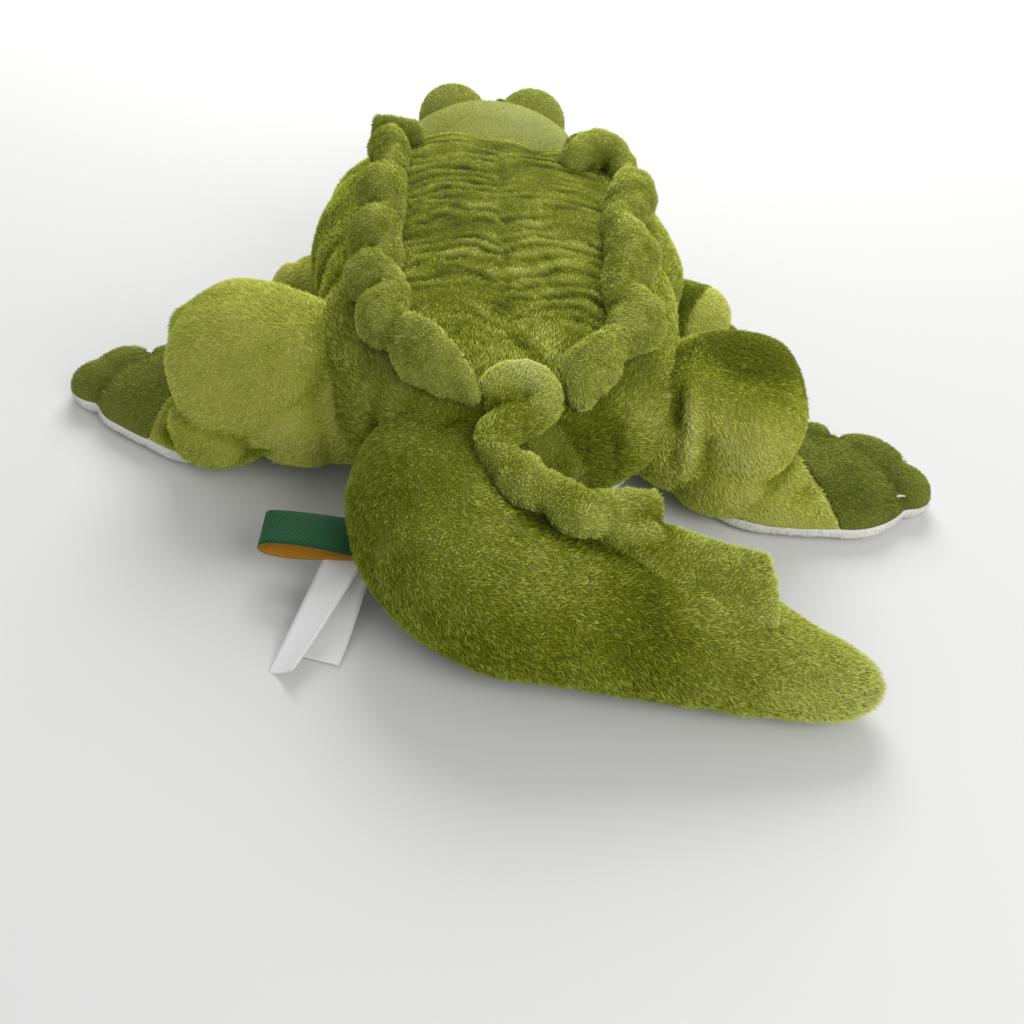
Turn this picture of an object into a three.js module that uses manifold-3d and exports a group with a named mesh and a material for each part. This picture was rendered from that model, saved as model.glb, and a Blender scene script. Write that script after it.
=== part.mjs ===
// A large plush crocodile that lies on its belly, as a scene graph of sewn and stuffed pieces.
// Millimetres, +Z up, +Y towards the snout, +X to the animal's right. The origin is the middle of the belly,
// where it is pressed flat on the floor. Each limb is a cloth cover over a filling, and its round root turns
// in a hollow of the torso.
import * as THREE from 'three';
import { mergeVertices } from 'three/addons/utils/BufferGeometryUtils.js';
import Module from 'manifold-3d';

const wasm = await Module();
wasm.setup();

// Cloth, seams and clearances
const cloth = 3;                // plush cloth with its backing and pile
const seamGap = 0.4;            // between two pieces that are sewn to each other
const bendGap = 1;              // between a cover and its filling where the tail bends sharply
const crestSeamGap = 0.8;       // under a crest
const turnGap = 0.95;           // round the root of a limb, which turns in a hollow
const neckTurnGap = 1.2;        // the same round the neck, the widest root
const passGap = 1.2;            // between the torso and the limb that swings past it
const innerPassGap = 2.4;       // between the torso and a layer inside the limb
const floorFlat = 0.5;          // how deep each piece is pressed flat where it rests
const overrun = 400;            // how far a cut runs past the piece that it cuts
const mergeTolerance = 0.0001;
const bodySectionExponent = 2.2; // 2 makes a form's section round, and more makes it squarer
const limbSectionExponent = 2.4;

// Torso, from its rump to its neck
const torsoRear = 145;
const torsoFront = 172;
const torsoHalfWidth = 108;
const backRise = 60;
const bellyDrop = 54;
const bellySeamHeight = 34;
const torsoRoundShare = 0.12;
const torsoWidthShares = [
  [0, 0.54], [0.14, 0.76], [0.27, 0.87], [0.43, 0.95], [0.65, 1], [0.8, 0.99], [0.93, 0.95], [1, 0.88],
];
const torsoRiseShares = [[0, 0.6], [0.14, 0.8], [0.35, 0.95], [0.55, 1], [0.8, 0.94], [1, 0.78]];
const torsoDropShares = [[0, 0.62], [0.14, 0.84], [0.35, 0.99], [0.55, 1], [0.8, 0.98], [1, 0.76]];

// Pouch of pellets that weighs the belly down
const pouchHalfLength = 62;
const pouchHalfWidth = 48;
const pouchHalfHeight = 15;
const pouchDepth = 10;          // how deep it lies in the filling
const pouchMouthRadius = 24;

// Scalloped crests along both edges of the back, leaning outwards
const crestCount = 6;
const crestThickness = 12;
const crestHeight = 16;
const crestRise = 9;            // from the back up to the middle of a scallop
const crestPinchShare = 0.52;
const crestStartShare = 0.055;
const crestEndShare = 0.94;
const crestLeanShares = [
  [0, 0.1], [0.11, 0.27], [0.27, 0.43], [0.55, 0.45], [0.74, 0.44], [0.89, 0.38], [1, 0.34],
];

// Tail, which curves round to the animal's right
const tailSeat = 34;            // from the end of the rump in to the pivot of the tail
const tailRootRadius = 47;
const tailRootHalfHeight = 41;
const tailPivotHeight = 50;
const tailHalfWidth = 44;
const tailRise = 38;
const tailDrop = 38;
const tailReach = 172;          // how far its tip lies to the right of its pivot
const tailTipHeight = 17;
const tailFallExponent = 1.3;   // over 1, it falls late along the tail
const tailRoundShare = 0.06;
const tailRouteShares = [
  [0, 0], [-0.07, 0.06], [-0.145, 0.17], [-0.158, 0.3], [-0.1, 0.415], [0.014, 0.495], [0.17, 0.523],
  [0.37, 0.548], [0.56, 0.585], [0.77, 0.645], [1, 0.715],
];
const tailJointShare = 0.5;
const tailSizeShares = [[0, 1], [0.25, 1], [0.5, 0.92], [0.68, 0.78], [0.8, 0.6], [0.92, 0.41], [1, 0.34]];
const tailEndBallShare = 1.04;

// Crest on the top of the tail
const tailCrestCount = 5;
const tailCrestThickness = 9;
const tailCrestHeight = 14;
const tailCrestRise = 8;
const tailCrestLeanShare = 0.2;
const tailCrestStartShare = 0.06;
const tailCrestEndShare = 0.8;
const tailCrestJointGap = 9;
const tailCrestTaperShare = 0.3; // how far it narrows with the tail

// Head with its snout
const neckSeat = 12;            // from the end of the torso back to the pivot of the head
const neckRootRadius = 57;
const neckRootHalfHeight = 42;
const neckPivotHeight = 52;
const headReach = 192;
const headBack = 30;
const headHalfWidth = 65;
const headRise = 46;
const headDrop = 40;
const headSpineDrop = 24;       // how far the snout's line lies under the neck's
const headRoundShare = 0.12;
const headWidthShares = [
  [0, 0.72], [0.15, 0.84], [0.28, 0.95], [0.42, 1], [0.54, 0.9], [0.66, 0.66], [0.8, 0.56], [0.92, 0.6],
  [1, 0.54],
];
const headRiseShares = [
  [0, 0.74], [0.15, 0.84], [0.3, 0.96], [0.44, 0.98], [0.55, 0.82], [0.66, 0.56], [0.8, 0.46], [0.92, 0.48],
  [1, 0.42],
];
const headDropShares = [
  [0, 0.74], [0.15, 0.86], [0.3, 0.96], [0.44, 0.9], [0.56, 0.66], [0.7, 0.5], [1, 0.44],
];
const mouthHeight = 28;
const mouthBackShare = 0.46;

// Lower jaw and what lies between the jaws
const jawRootRadius = 9;
const jawRootHalfWidth = 31;
const jawHingeHeight = 17.5;
const jawReach = 108;
const jawHalfWidth = 31;
const jawDrop = 12;
const jawWidthShares = [[0, 0.94], [0.3, 0.95], [0.6, 0.88], [0.88, 0.86], [1, 0.74]];
const feltThickness = 1.6;
const liningInset = 7;
const toothHeight = 8;
const toothPitch = 12;
const toothCount = 7;
const toothInset = 2.4;
const toothStart = 6;           // from the mouth's corner to the first tooth

// Eyes on their mounds
const moundSpread = 28;
const moundForward = 74;
const moundHeight = 80;
const moundHalfWidth = 24;
const moundHalfLength = 26;
const moundRise = 23;
const eyeRadius = 9;
const eyeDome = 7;
const eyeSunk = 1.4;
const shankRadius = 2.2;
const shankLength = 13;
const washerRadius = 8;
const washerThickness = 1.6;
const washerDepth = 8;
const eyeOutward = 0.66;
const eyeForward = 0.7;
const eyeUpward = 0.28;

// Small pieces on the head
const nostrilSpread = 12;
const nostrilBack = 15;
const nostrilRadius = 7;

// Legs. Outward is away from the torso, forward is towards the snout, and the toes spread from the foot.
const hindLeg = {
  alongShare: 0.27, seat: 13, pivotHeight: 42, rootRadius: 38, rootHalfHeight: 33,
  thighReach: 97, thighHalfWidth: 45, thighRise: 41, thighDrop: 31, thighLift: 7,
  footHeel: 52, footReach: 160, footHalfWidth: 39, footRise: 23, footForward: -12, footSeam: 97,
  soleHeight: 9, toeRadius: 15, toeRise: 18, toeLift: 8,
};
const foreLeg = {
  alongShare: 0.72, seat: 25, pivotHeight: 33, rootRadius: 29, rootHalfHeight: 24,
  thighReach: 55, thighHalfWidth: 28, thighRise: 19, thighDrop: 20, thighLift: -2,
  footHeel: 30, footReach: 84, footHalfWidth: 24, footRise: 15, footForward: -5, footSeam: 50,
  soleHeight: 8, toeRadius: 10, toeRise: 13, toeLift: 7,
};
const thighWidthShares = [[0, 0.72], [0.3, 0.8], [0.62, 1], [0.88, 1], [1, 0.9]];
const footWidthShares = [[0, 0.8], [0.35, 0.98], [0.65, 1], [1, 0.7]];
const footRiseShares = [[0, 1], [0.4, 0.95], [0.75, 0.8], [1, 0.6]];
const toeSpots = [              // how far out over the reach, and forward over the half width
  { outShare: 0.64, aheadShare: 0.78 },
  { outShare: 0.85, aheadShare: 0.46 },
  { outShare: 0.96, aheadShare: -0.34 },
];
const rootMouthShare = 0.62;    // the opening in a root, over its radius
const thighRoundShare = 0.34;
const footRoundShare = 0.3;
const legSwingDegrees = { right_hind: -8, left_hind: 14, right_fore: -26, left_fore: -10 };

// How far each joint turns either way
const turnDegrees = { tail: 12, tailTip: 15, head: 12, leg: 12 };
const jawOpeningDegrees = 10;

// Labels sewn in at the root of the tail: a woven loop, and a folded strip that hangs to the floor
const labelShare = 0.19;        // along the tail
const loopHeight = 29;
const careHeight = 22;
const loopLength = 44;
const loopGap = 7;
const loopWidth = 19;
const loopThickness = 1;
const careReach = 64;
const careWidth = 24;
const careThickness = 0.8;
const careLeafGap = 1.2;
const careFloorGap = 1.5;
const careTurnDegrees = 62;     // from the loop's direction round to the strip's
const careFallShares = [[1, 1], [0.7, 0.8], [0.3, 0.3]]; // how far down it is at each share of its reach
const ribbonStepCount = 20;

// How finely round forms are cut into faces
const rootMesh = { facetCount: 16, bandCount: 5 };
const rootCoreMesh = { facetCount: 10, bandCount: 4 };
const socketMesh = { facetCount: 12, bandCount: 6 };
const toeMesh = { facetCount: 9, bandCount: 4 };
const torsoMesh = { ringCount: 12, pointCount: 16 };
const tailMesh = { ringCount: 14, pointCount: 10 };
const headMesh = { ringCount: 12, pointCount: 14 };
const limbMesh = { ringCount: 6, pointCount: 10 };
const coreMesh = { ringCount: 6, pointCount: 8 };
const headCoreMesh = { ringCount: 12, pointCount: 8 };
const tailCoreMesh = { ringCount: 10, pointCount: 8 };
const crestMesh = { ringCountEach: 4, pointCount: 6 };
const sweepMesh = { ringCount: 6, pointCount: 16 };
const sweepStepDegrees = 15;    // between the copies that mark out where a piece turns

const radians = THREE.MathUtils.degToRad;
const up = new THREE.Vector3(0, 0, 1);
const at = (x, y, z) => new THREE.Vector3(x, y, z);

// Solids

function solidOf(geometry) {
  const bare = geometry.clone();
  bare.deleteAttribute('normal');
  bare.deleteAttribute('uv');
  const merged = mergeVertices(bare, mergeTolerance);
  return new wasm.Manifold(new wasm.Mesh({
    numProp: 3,
    vertProperties: merged.getAttribute('position').array,
    triVerts: new Uint32Array(merged.index.array),
  }));
}

function geometryOf(solid) {
  const mesh = solid.getMesh();
  const geometry = new THREE.BufferGeometry();
  geometry.setAttribute('position', new THREE.BufferAttribute(new Float32Array(mesh.vertProperties), 3));
  geometry.setIndex(new THREE.BufferAttribute(new Uint32Array(mesh.triVerts), 1));
  geometry.computeVertexNormals();
  return geometry;
}

const joined = (...solids) => solids.reduce((whole, solid) => whole.add(solid));
const cutBy = (solid, ...cutters) => cutters.reduce((left, cutter) => left.subtract(cutter), solid);

function boxBetween(low, high) {
  const size = high.clone().sub(low);
  const box = new THREE.BoxGeometry(size.x, size.y, size.z);
  const middle = low.clone().add(high).divideScalar(2);
  return solidOf(box.translate(middle.x, middle.y, middle.z));
}

const farLow = -overrun;
const above = (height) => boxBetween(at(farLow, farLow, height), at(overrun, overrun, overrun));
const below = (height) => boxBetween(at(farLow, farLow, farLow), at(overrun, overrun, height));
const aheadOf = (y) => boxBetween(at(farLow, y, farLow), at(overrun, overrun, overrun));
const behind = (y) => boxBetween(at(farLow, farLow, farLow), at(overrun, y, overrun));
const sideOf = (side, gap) => (side > 0
  ? boxBetween(at(gap, farLow, farLow), at(overrun, overrun, overrun))
  : boxBetween(at(farLow, farLow, farLow), at(-gap, overrun, overrun)));

// A ball flattened to the given half sizes, with its poles up and down.
function ovalGeometry(centre, halfSizes, { facetCount, bandCount }) {
  const ball = new THREE.SphereGeometry(1, facetCount, bandCount).rotateX(Math.PI / 2);
  ball.scale(halfSizes.x, halfSizes.y, halfSizes.z);
  return ball.translate(centre.x, centre.y, centre.z);
}

// The root of a limb is round about the vertical axis, so that it turns in a hollow of its own shape.
function rootBall({ pivot, radius, halfHeight }, grow = 0, mesh = rootMesh) {
  return solidOf(ovalGeometry(pivot, at(radius + grow, radius + grow, halfHeight + grow), mesh));
}

// The space that a shape passes through while it turns about an axis, as a row of turned copies.
function swept(geometry, pivot, from, to, { step = sweepStepDegrees, axis = up } = {}) {
  const count = Math.ceil((to - from) / step);
  const copies = Array.from({ length: count + 1 }, (_, index) => {
    const angle = radians(THREE.MathUtils.lerp(from, to, index / count));
    const copy = geometry.clone().translate(-pivot.x, -pivot.y, -pivot.z);
    copy.applyMatrix4(new THREE.Matrix4().makeRotationAxis(axis, angle));
    return solidOf(copy.translate(pivot.x, pivot.y, pivot.z));
  });
  return joined(...copies);
}

// Reads a size between the rows of a table of [share of the length, share of the size].
function readShares(shares) {
  const smooth = new THREE.CubicInterpolant(shares.map((row) => row[0]), shares.map((row) => row[1]), 1);
  return (share) => smooth.evaluate(share)[0];
}

const times = (size, shares) => {
  const read = readShares(shares);
  return (share) => size * read(share);
};

// A stuffed form: rings round a spine that swell and taper, closed by a round end each way.
class StuffedForm {
  constructor({ spine, halfWidth, rise, drop, roundShare, squareness = bodySectionExponent, even = false }) {
    this.curve = new THREE.CatmullRomCurve3(spine);
    this.halfWidth = halfWidth;
    this.rise = rise;
    this.drop = drop;
    this.roundShare = roundShare;
    this.squareness = squareness;
    this.even = even;
  }

  // How far the ends have closed at a share of the length: 0 at the very end, 1 past the rounding.
  closing(share) {
    const fromEnd = Math.min(share, 1 - share) / this.roundShare;
    return fromEnd >= 1 ? 1 : Math.sqrt(Math.max(0, 1 - (1 - fromEnd) ** 2));
  }

  // A point of the surface, or one that lies grow outside it. The angle runs from the right side to the top.
  pointAt(share, angle, grow = 0) {
    const along = this.curve.getTangentAt(share);
    const right = along.clone().cross(up).normalize();
    const top = right.clone().cross(along);
    const closed = this.closing(share);
    const bend = (value) => Math.sign(value) * Math.abs(value) ** (2 / this.squareness);
    const high = Math.sin(angle) >= 0 ? this.rise(share) : this.drop(share);
    return this.curve.getPointAt(share)
      .addScaledVector(along, grow * (2 * share - 1))
      .addScaledVector(right, bend(Math.cos(angle)) * (this.halfWidth(share) + grow) * closed)
      .addScaledVector(top, bend(Math.sin(angle)) * (high + grow) * closed);
  }

  geometry({ ringCount, pointCount }, grow = 0) {
    const points = [];
    const faces = [];
    for (let ring = 1; ring < ringCount; ring++) {
      const along = ring / ringCount;
      const share = this.even ? along : (1 - Math.cos(Math.PI * along)) / 2;
      for (let step = 0; step < pointCount; step++) {
        points.push(this.pointAt(share, 2 * Math.PI * step / pointCount, grow));
      }
    }
    const first = points.push(this.pointAt(0, 0, grow)) - 1;
    const last = points.push(this.pointAt(1, 0, grow)) - 1;
    for (let ring = 0; ring < ringCount - 1; ring++) {
      for (let step = 0; step < pointCount; step++) {
        const here = ring * pointCount + step;
        const beside = ring * pointCount + (step + 1) % pointCount;
        if (ring === 0) faces.push(first, here, beside);
        if (ring === ringCount - 2) faces.push(here, last, beside);
        else faces.push(here, here + pointCount, beside, beside, here + pointCount, beside + pointCount);
      }
    }
    return new THREE.BufferGeometry().setFromPoints(points).setIndex(faces);
  }

  solid(mesh, grow = 0) {
    return solidOf(this.geometry(mesh, grow));
  }
}

// Torso

const torsoHeight = bellyDrop - floorFlat;
const torsoForm = new StuffedForm({
  spine: [at(0, -torsoRear, torsoHeight), at(0, 0, torsoHeight), at(0, torsoFront, torsoHeight)],
  halfWidth: times(torsoHalfWidth, torsoWidthShares),
  rise: times(backRise, torsoRiseShares),
  drop: times(bellyDrop, torsoDropShares),
  roundShare: torsoRoundShare,
});
const torsoYAt = (share) => THREE.MathUtils.lerp(-torsoRear, torsoFront, share);
const torsoSurface = (gap) => torsoForm.geometry(torsoMesh, gap);
const floorLevel = above(0);

const tailRoot = {
  pivot: at(0, tailSeat - torsoRear, tailPivotHeight),
  radius: tailRootRadius,
  halfHeight: tailRootHalfHeight,
  gap: turnGap,
};
const neckRoot = {
  pivot: at(0, torsoFront - neckSeat, neckPivotHeight),
  radius: neckRootRadius,
  halfHeight: neckRootHalfHeight,
  gap: neckTurnGap,
};
const legs = [['hind', hindLeg], ['fore', foreLeg]].flatMap(([end, size]) => (
  [['left', -1], ['right', 1]].map(([hand, side]) => ({
    name: `${hand}_${end}`,
    side,
    size,
    swing: legSwingDegrees[`${hand}_${end}`],
    root: {
      pivot: at(
        side * (torsoForm.halfWidth(size.alongShare) - size.seat),
        torsoYAt(size.alongShare),
        size.pivotHeight,
      ),
      radius: size.rootRadius,
      halfHeight: size.rootHalfHeight,
      gap: turnGap,
    },
  }))
));
const roots = [tailRoot, neckRoot, ...legs.map((leg) => leg.root)];
const sockets = roots.map((root) => rootBall(root, root.gap));
const fillingSockets = roots.map((root) => rootBall(root, root.gap + cloth, socketMesh));

// Where the torso passes when a limb turns against it, for the limb's surface and for a layer inside it.
const torsoAround = (root, turn) => swept(torsoSurface(passGap), root.pivot, -turn, turn);
const torsoWithin = (root, turn, depth) => (
  swept(torsoForm.geometry(sweepMesh, innerPassGap + depth), root.pivot, -turn, turn, { step: turn })
);

const pouch = at(0, 0, cloth + pouchDepth + pouchHalfHeight);
const pouchSolid = (grow) => solidOf(ovalGeometry(
  pouch, at(pouchHalfWidth + grow, pouchHalfLength + grow, pouchHalfHeight + grow), rootMesh,
));

function torsoPieces() {
  const whole = torsoForm.solid(torsoMesh).intersect(floorLevel);
  const hollow = torsoForm.solid(coreMesh, -cloth).intersect(above(cloth));
  const skin = cutBy(whole, hollow, ...sockets);
  const core = torsoForm.solid(coreMesh, -cloth - seamGap).intersect(above(cloth + seamGap));
  const mouth = new THREE.CylinderGeometry(
    pouchMouthRadius, pouchMouthRadius, pouch.z, rootCoreMesh.facetCount,
  );
  return {
    back_cover: skin.intersect(above(bellySeamHeight + seamGap)),
    belly_panel: skin.intersect(below(bellySeamHeight)),
    torso_filling: cutBy(
      core, ...fillingSockets, pouchSolid(seamGap),
      solidOf(mouth.rotateX(Math.PI / 2).translate(0, 0, pouch.z / 2)),
    ),
    pellet_pouch: pouchSolid(0),
  };
}

// Crests

// The size of a row of scallops along its length, pinched between them.
function scallops(count, full) {
  const swell = (share) => Math.abs(Math.sin(Math.PI * count * share));
  return (share) => full * THREE.MathUtils.lerp(crestPinchShare, 1, swell(share));
}

// A row of scallops along a line on a stuffed form, leaning by a share of a quarter turn from the top.
function crestOn(form, { count, thickness, height, rise, from, to, lean, side, taper = () => 1 }) {
  const spine = Array.from({ length: count * 3 + 1 }, (_, index) => {
    const share = THREE.MathUtils.lerp(from, to, index / (count * 3));
    return form.pointAt(share, Math.PI / 2 * (1 - side * lean(share)), rise);
  });
  const thick = scallops(count, thickness);
  const high = scallops(count, height);
  return new StuffedForm({
    spine,
    halfWidth: (share) => thick(share) * taper(share),
    rise: (share) => high(share) * taper(share),
    drop: () => height,
    roundShare: 0.5 / count,
    even: true,
  }).solid({ ringCount: count * crestMesh.ringCountEach, pointCount: crestMesh.pointCount });
}

function backCrest(side) {
  const crest = crestOn(torsoForm, {
    count: crestCount, thickness: crestThickness, height: crestHeight, rise: crestRise,
    from: crestStartShare, to: crestEndShare, lean: readShares(crestLeanShares), side,
  });
  return cutBy(crest, solidOf(torsoSurface(seamGap)), ...sockets);
}

// Tail

const tailSpine = tailRouteShares.map(([right, back], index) => {
  const along = index / (tailRouteShares.length - 1);
  return at(
    tailRoot.pivot.x + tailReach * right,
    tailRoot.pivot.y - tailReach * back,
    THREE.MathUtils.lerp(tailPivotHeight, tailTipHeight, along ** tailFallExponent),
  );
});
const tailForm = new StuffedForm({
  spine: tailSpine,
  halfWidth: times(tailHalfWidth, tailSizeShares),
  rise: times(tailRise, tailSizeShares),
  drop: times(tailDrop, tailSizeShares),
  roundShare: tailRoundShare,
  even: true,
});
const tailMiddle = {
  pivot: tailForm.curve.getPointAt(tailJointShare),
  radius: tailForm.halfWidth(tailJointShare) * tailEndBallShare,
  halfHeight: tailForm.rise(tailJointShare),
};
const tailHeading = tailForm.curve.getTangentAt(tailJointShare).setZ(0).normalize();

// Everything on the root's side of an upright plane across the tail, a way past its second joint and turned
// there.
function rootwardOf(offset, turn = 0) {
  const half = new THREE.BoxGeometry(overrun, overrun, overrun).translate(0, overrun / 2, 0);
  half.rotateZ(Math.atan2(tailHeading.x, -tailHeading.y) + radians(turn));
  const middle = tailMiddle.pivot.clone().addScaledVector(tailHeading, offset);
  return solidOf(half.translate(middle.x, middle.y, middle.z));
}

// A layer of the tail, a depth inside its surface, with what is cut from its tube to clear the torso.
function tailLayer(depth, mesh, ballMesh, clearance) {
  const floor = above(depth);
  return {
    tube: cutBy(tailForm.solid(mesh, -depth), clearance).intersect(floor),
    root: rootBall(tailRoot, -depth, ballMesh),
    middle: rootBall(tailMiddle, -depth, ballMesh).intersect(floor),
  };
}

function tailPieces() {
  const outer = tailLayer(0, tailMesh, rootMesh, torsoAround(tailRoot, turnDegrees.tail));
  const inner = (depth) => tailLayer(
    depth, tailCoreMesh, rootCoreMesh, torsoWithin(tailRoot, turnDegrees.tail, depth),
  );
  const hollow = inner(cloth);
  const core = inner(cloth + bendGap);
  const rootward = rootwardOf(0);
  const clearOfEnd = rootwardOf(0, turnDegrees.tailTip).intersect(rootwardOf(0, -turnDegrees.tailTip));
  const socket = rootBall(tailMiddle, turnGap);
  const rootMouth = aheadOf(tailRoot.pivot.y + tailRoot.radius * rootMouthShare);
  const middleMouth = rootwardOf(-tailMiddle.radius * rootMouthShare);
  const rootPart = ({ tube, root }) => joined(tube.intersect(clearOfEnd), root);
  const endPart = ({ tube, middle }) => joined(cutBy(tube, rootward), middle);
  return {
    tail_root_cover: cutBy(rootPart(outer), rootPart(hollow), socket, rootMouth),
    tail_root_filling: cutBy(rootPart(core), socket),
    tail_end_cover: cutBy(endPart(outer), endPart(hollow), middleMouth),
    tail_end_filling: endPart(core),
  };
}

function tailCrests() {
  const shrink = readShares(tailSizeShares);
  const crest = crestOn(tailForm, {
    count: tailCrestCount, thickness: tailCrestThickness, height: tailCrestHeight, rise: tailCrestRise,
    from: tailCrestStartShare, to: tailCrestEndShare, lean: () => -tailCrestLeanShare, side: 1,
    taper: (share) => THREE.MathUtils.lerp(1, shrink(share), tailCrestTaperShare),
  });
  const whole = cutBy(
    crest, tailForm.solid(tailMesh, crestSeamGap), rootBall(tailRoot, crestSeamGap),
    rootBall(tailMiddle, turnGap), torsoAround(tailRoot, turnDegrees.tail),
  );
  return {
    tail_root_crest: whole.intersect(rootwardOf(-tailCrestJointGap)),
    tail_end_crest: cutBy(whole, rootwardOf(tailCrestJointGap)),
  };
}

// Head

const headLength = headReach + headBack;
const headYAt = (share) => neckRoot.pivot.y - headBack + share * headLength;
const headSpine = [0, 0.2, 0.4, 0.6, 0.8, 1].map((share) => at(
  0, headYAt(share), neckRoot.pivot.z - THREE.MathUtils.smoothstep(share, 0.25, 0.7) * headSpineDrop,
));
const headForm = new StuffedForm({
  spine: headSpine,
  halfWidth: times(headHalfWidth, headWidthShares),
  rise: times(headRise, headRiseShares),
  drop: times(headDrop, headDropShares),
  roundShare: headRoundShare,
});
const headSurface = (gap) => headForm.solid(headMesh, gap);
const mouthBack = headYAt(mouthBackShare);

const jawPivot = at(0, mouthBack, jawHingeHeight);
const jawTop = mouthHeight - feltThickness * 2 - seamGap * 3;
const jawForm = new StuffedForm({
  spine: [at(0, jawPivot.y - jawRootRadius, jawPivot.z), at(0, jawPivot.y + jawReach, jawPivot.z)],
  halfWidth: times(jawHalfWidth, jawWidthShares),
  rise: () => jawRootRadius,
  drop: () => jawDrop,
  roundShare: headRoundShare,
});

function jawBarrel(grow, mesh = rootMesh) {
  const barrel = new THREE.SphereGeometry(1, mesh.facetCount, mesh.bandCount).rotateZ(Math.PI / 2);
  barrel.scale(jawRootHalfWidth + grow, jawRootRadius + grow, jawRootRadius + grow);
  return solidOf(barrel.translate(jawPivot.x, jawPivot.y, jawPivot.z));
}

const jawSpace = joined(
  jawBarrel(turnGap),
  swept(jawForm.geometry(limbMesh, passGap), jawPivot, -jawOpeningDegrees, 0, { axis: at(1, 0, 0) }),
);

// A layer of the head, a depth inside its surface, with what is cut from its tube to clear the torso.
function headLayer(depth, mesh, ballMesh, clearance) {
  const mouth = boxBetween(at(farLow, mouthBack - depth, farLow), at(overrun, overrun, mouthHeight + depth));
  const tube = cutBy(headForm.solid(mesh, -depth), mouth, clearance);
  return joined(tube, rootBall(neckRoot, -depth, ballMesh)).intersect(above(depth));
}

function headPieces() {
  const neckMouth = behind(neckRoot.pivot.y - neckRoot.radius * rootMouthShare);
  const outer = headLayer(0, headMesh, rootMesh, torsoAround(neckRoot, turnDegrees.head));
  const inner = (depth) => headLayer(
    depth, headCoreMesh, rootCoreMesh, torsoWithin(neckRoot, turnDegrees.head, depth),
  );
  return {
    head_cover: cutBy(outer, inner(cloth), neckMouth, jawSpace),
    head_filling: cutBy(inner(cloth + seamGap), jawSpace),
  };
}

function jawLayer(depth, mesh, ballMesh) {
  const slab = jawForm.solid(mesh, -depth).intersect(below(jawTop - depth));
  return joined(slab, jawBarrel(-depth, ballMesh));
}

function jawPieces() {
  const throat = behind(jawPivot.y - jawRootRadius * rootMouthShare);
  return {
    lower_jaw_cover: cutBy(jawLayer(0, limbMesh, rootMesh), jawLayer(cloth, coreMesh, rootCoreMesh), throat),
    lower_jaw_filling: jawLayer(cloth + seamGap, coreMesh, rootCoreMesh),
  };
}

// A flat piece with the outline of a stuffed form seen from above.
function planSlab(form, grow, low, high) {
  const steps = headMesh.ringCount;
  const shares = Array.from({ length: steps + 1 }, (_, index) => index / steps);
  const edge = (angle) => shares.map((share) => form.pointAt(share, angle, grow));
  const points = [...edge(0), ...edge(Math.PI).reverse()];
  const outline = new THREE.Shape(points.map((point) => new THREE.Vector2(point.x, point.y)));
  const slab = new THREE.ExtrudeGeometry(outline, { depth: high - low, bevelEnabled: false });
  return solidOf(slab.translate(0, 0, low));
}

function mouthLinings() {
  const lining = (form, top) => planSlab(form, -liningInset, top - feltThickness, top)
    .intersect(aheadOf(jawPivot.y + jawRootRadius + turnGap));
  return {
    upper_mouth_lining: lining(headForm, mouthHeight - seamGap),
    lower_mouth_lining: lining(jawForm, jawTop + seamGap + feltThickness),
  };
}

// A strip of pointed teeth along each side of the upper jaw, cut as a row of notches.
function teeth(side) {
  const top = mouthHeight - seamGap;
  const tip = top - toothHeight;
  const strip = cutBy(
    planSlab(headForm, -toothInset, tip, top),
    planSlab(headForm, -toothInset - feltThickness, tip - overrun, top + overrun),
  );
  const first = mouthBack + toothStart;
  const notches = Array.from({ length: toothCount + 1 }, (_, index) => {
    const middle = first + toothPitch * index;
    const notch = new THREE.Shape([
      new THREE.Vector2(middle - toothPitch / 2, tip),
      new THREE.Vector2(middle, tip - toothHeight),
      new THREE.Vector2(middle + toothPitch / 2, tip),
      new THREE.Vector2(middle, top - feltThickness),
    ]);
    const prism = new THREE.ExtrudeGeometry(notch, { depth: overrun, bevelEnabled: false });
    prism.applyMatrix4(new THREE.Matrix4().makeBasis(at(0, 1, 0), up, at(1, 0, 0)));
    return solidOf(prism.translate(-overrun / 2, 0, 0));
  });
  const run = aheadOf(first).subtract(aheadOf(first + toothPitch * toothCount));
  return cutBy(strip.intersect(run).intersect(sideOf(side, 0)), ...notches);
}

// Eyes

const eyeMesh = { facetCount: 12, bandCount: 6 };
const eyeAim = at(eyeOutward, eyeForward, eyeUpward).normalize();
const moundCentre = (side) => at(side * moundSpread, neckRoot.pivot.y + moundForward, moundHeight);

// Turns a lathed piece from its own upright axis to look out of the mound, seated on the mound's surface.
function onMound(profile, side) {
  const aim = at(side * eyeAim.x, eyeAim.y, eyeAim.z);
  const reach = 1 / Math.hypot(aim.x / moundHalfWidth, aim.y / moundHalfLength, aim.z / moundRise);
  const seat = moundCentre(side).addScaledVector(aim, reach - eyeSunk);
  const points = profile.map(([radius, height]) => new THREE.Vector2(radius, height));
  const lathed = new THREE.LatheGeometry(points, eyeMesh.facetCount);
  lathed.applyQuaternion(new THREE.Quaternion().setFromUnitVectors(at(0, 1, 0), aim));
  return solidOf(lathed.translate(seat.x, seat.y, seat.z));
}

// A domed eye with its shank behind, and the same grown by a gap.
function eyeProfile(grow) {
  const domeStepCount = 4;
  const dome = Array.from({ length: domeStepCount }, (_, step) => {
    const angle = Math.PI / 2 * step / domeStepCount;
    return [Math.cos(angle) * (eyeRadius + grow), Math.sin(angle) * (eyeDome + grow)];
  });
  return [
    [0, -shankLength - grow], [shankRadius + grow, -shankLength - grow], [shankRadius + grow, -grow],
    [eyeRadius + grow, -grow], ...dome, [0, eyeDome + grow],
  ];
}

// The washer that locks the shank inside the head.
function washerProfile() {
  const inner = shankRadius + seamGap;
  const high = -washerDepth;
  const low = high - washerThickness;
  return [[inner, low], [washerRadius, low], [washerRadius, high], [inner, high], [inner, low]];
}

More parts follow.
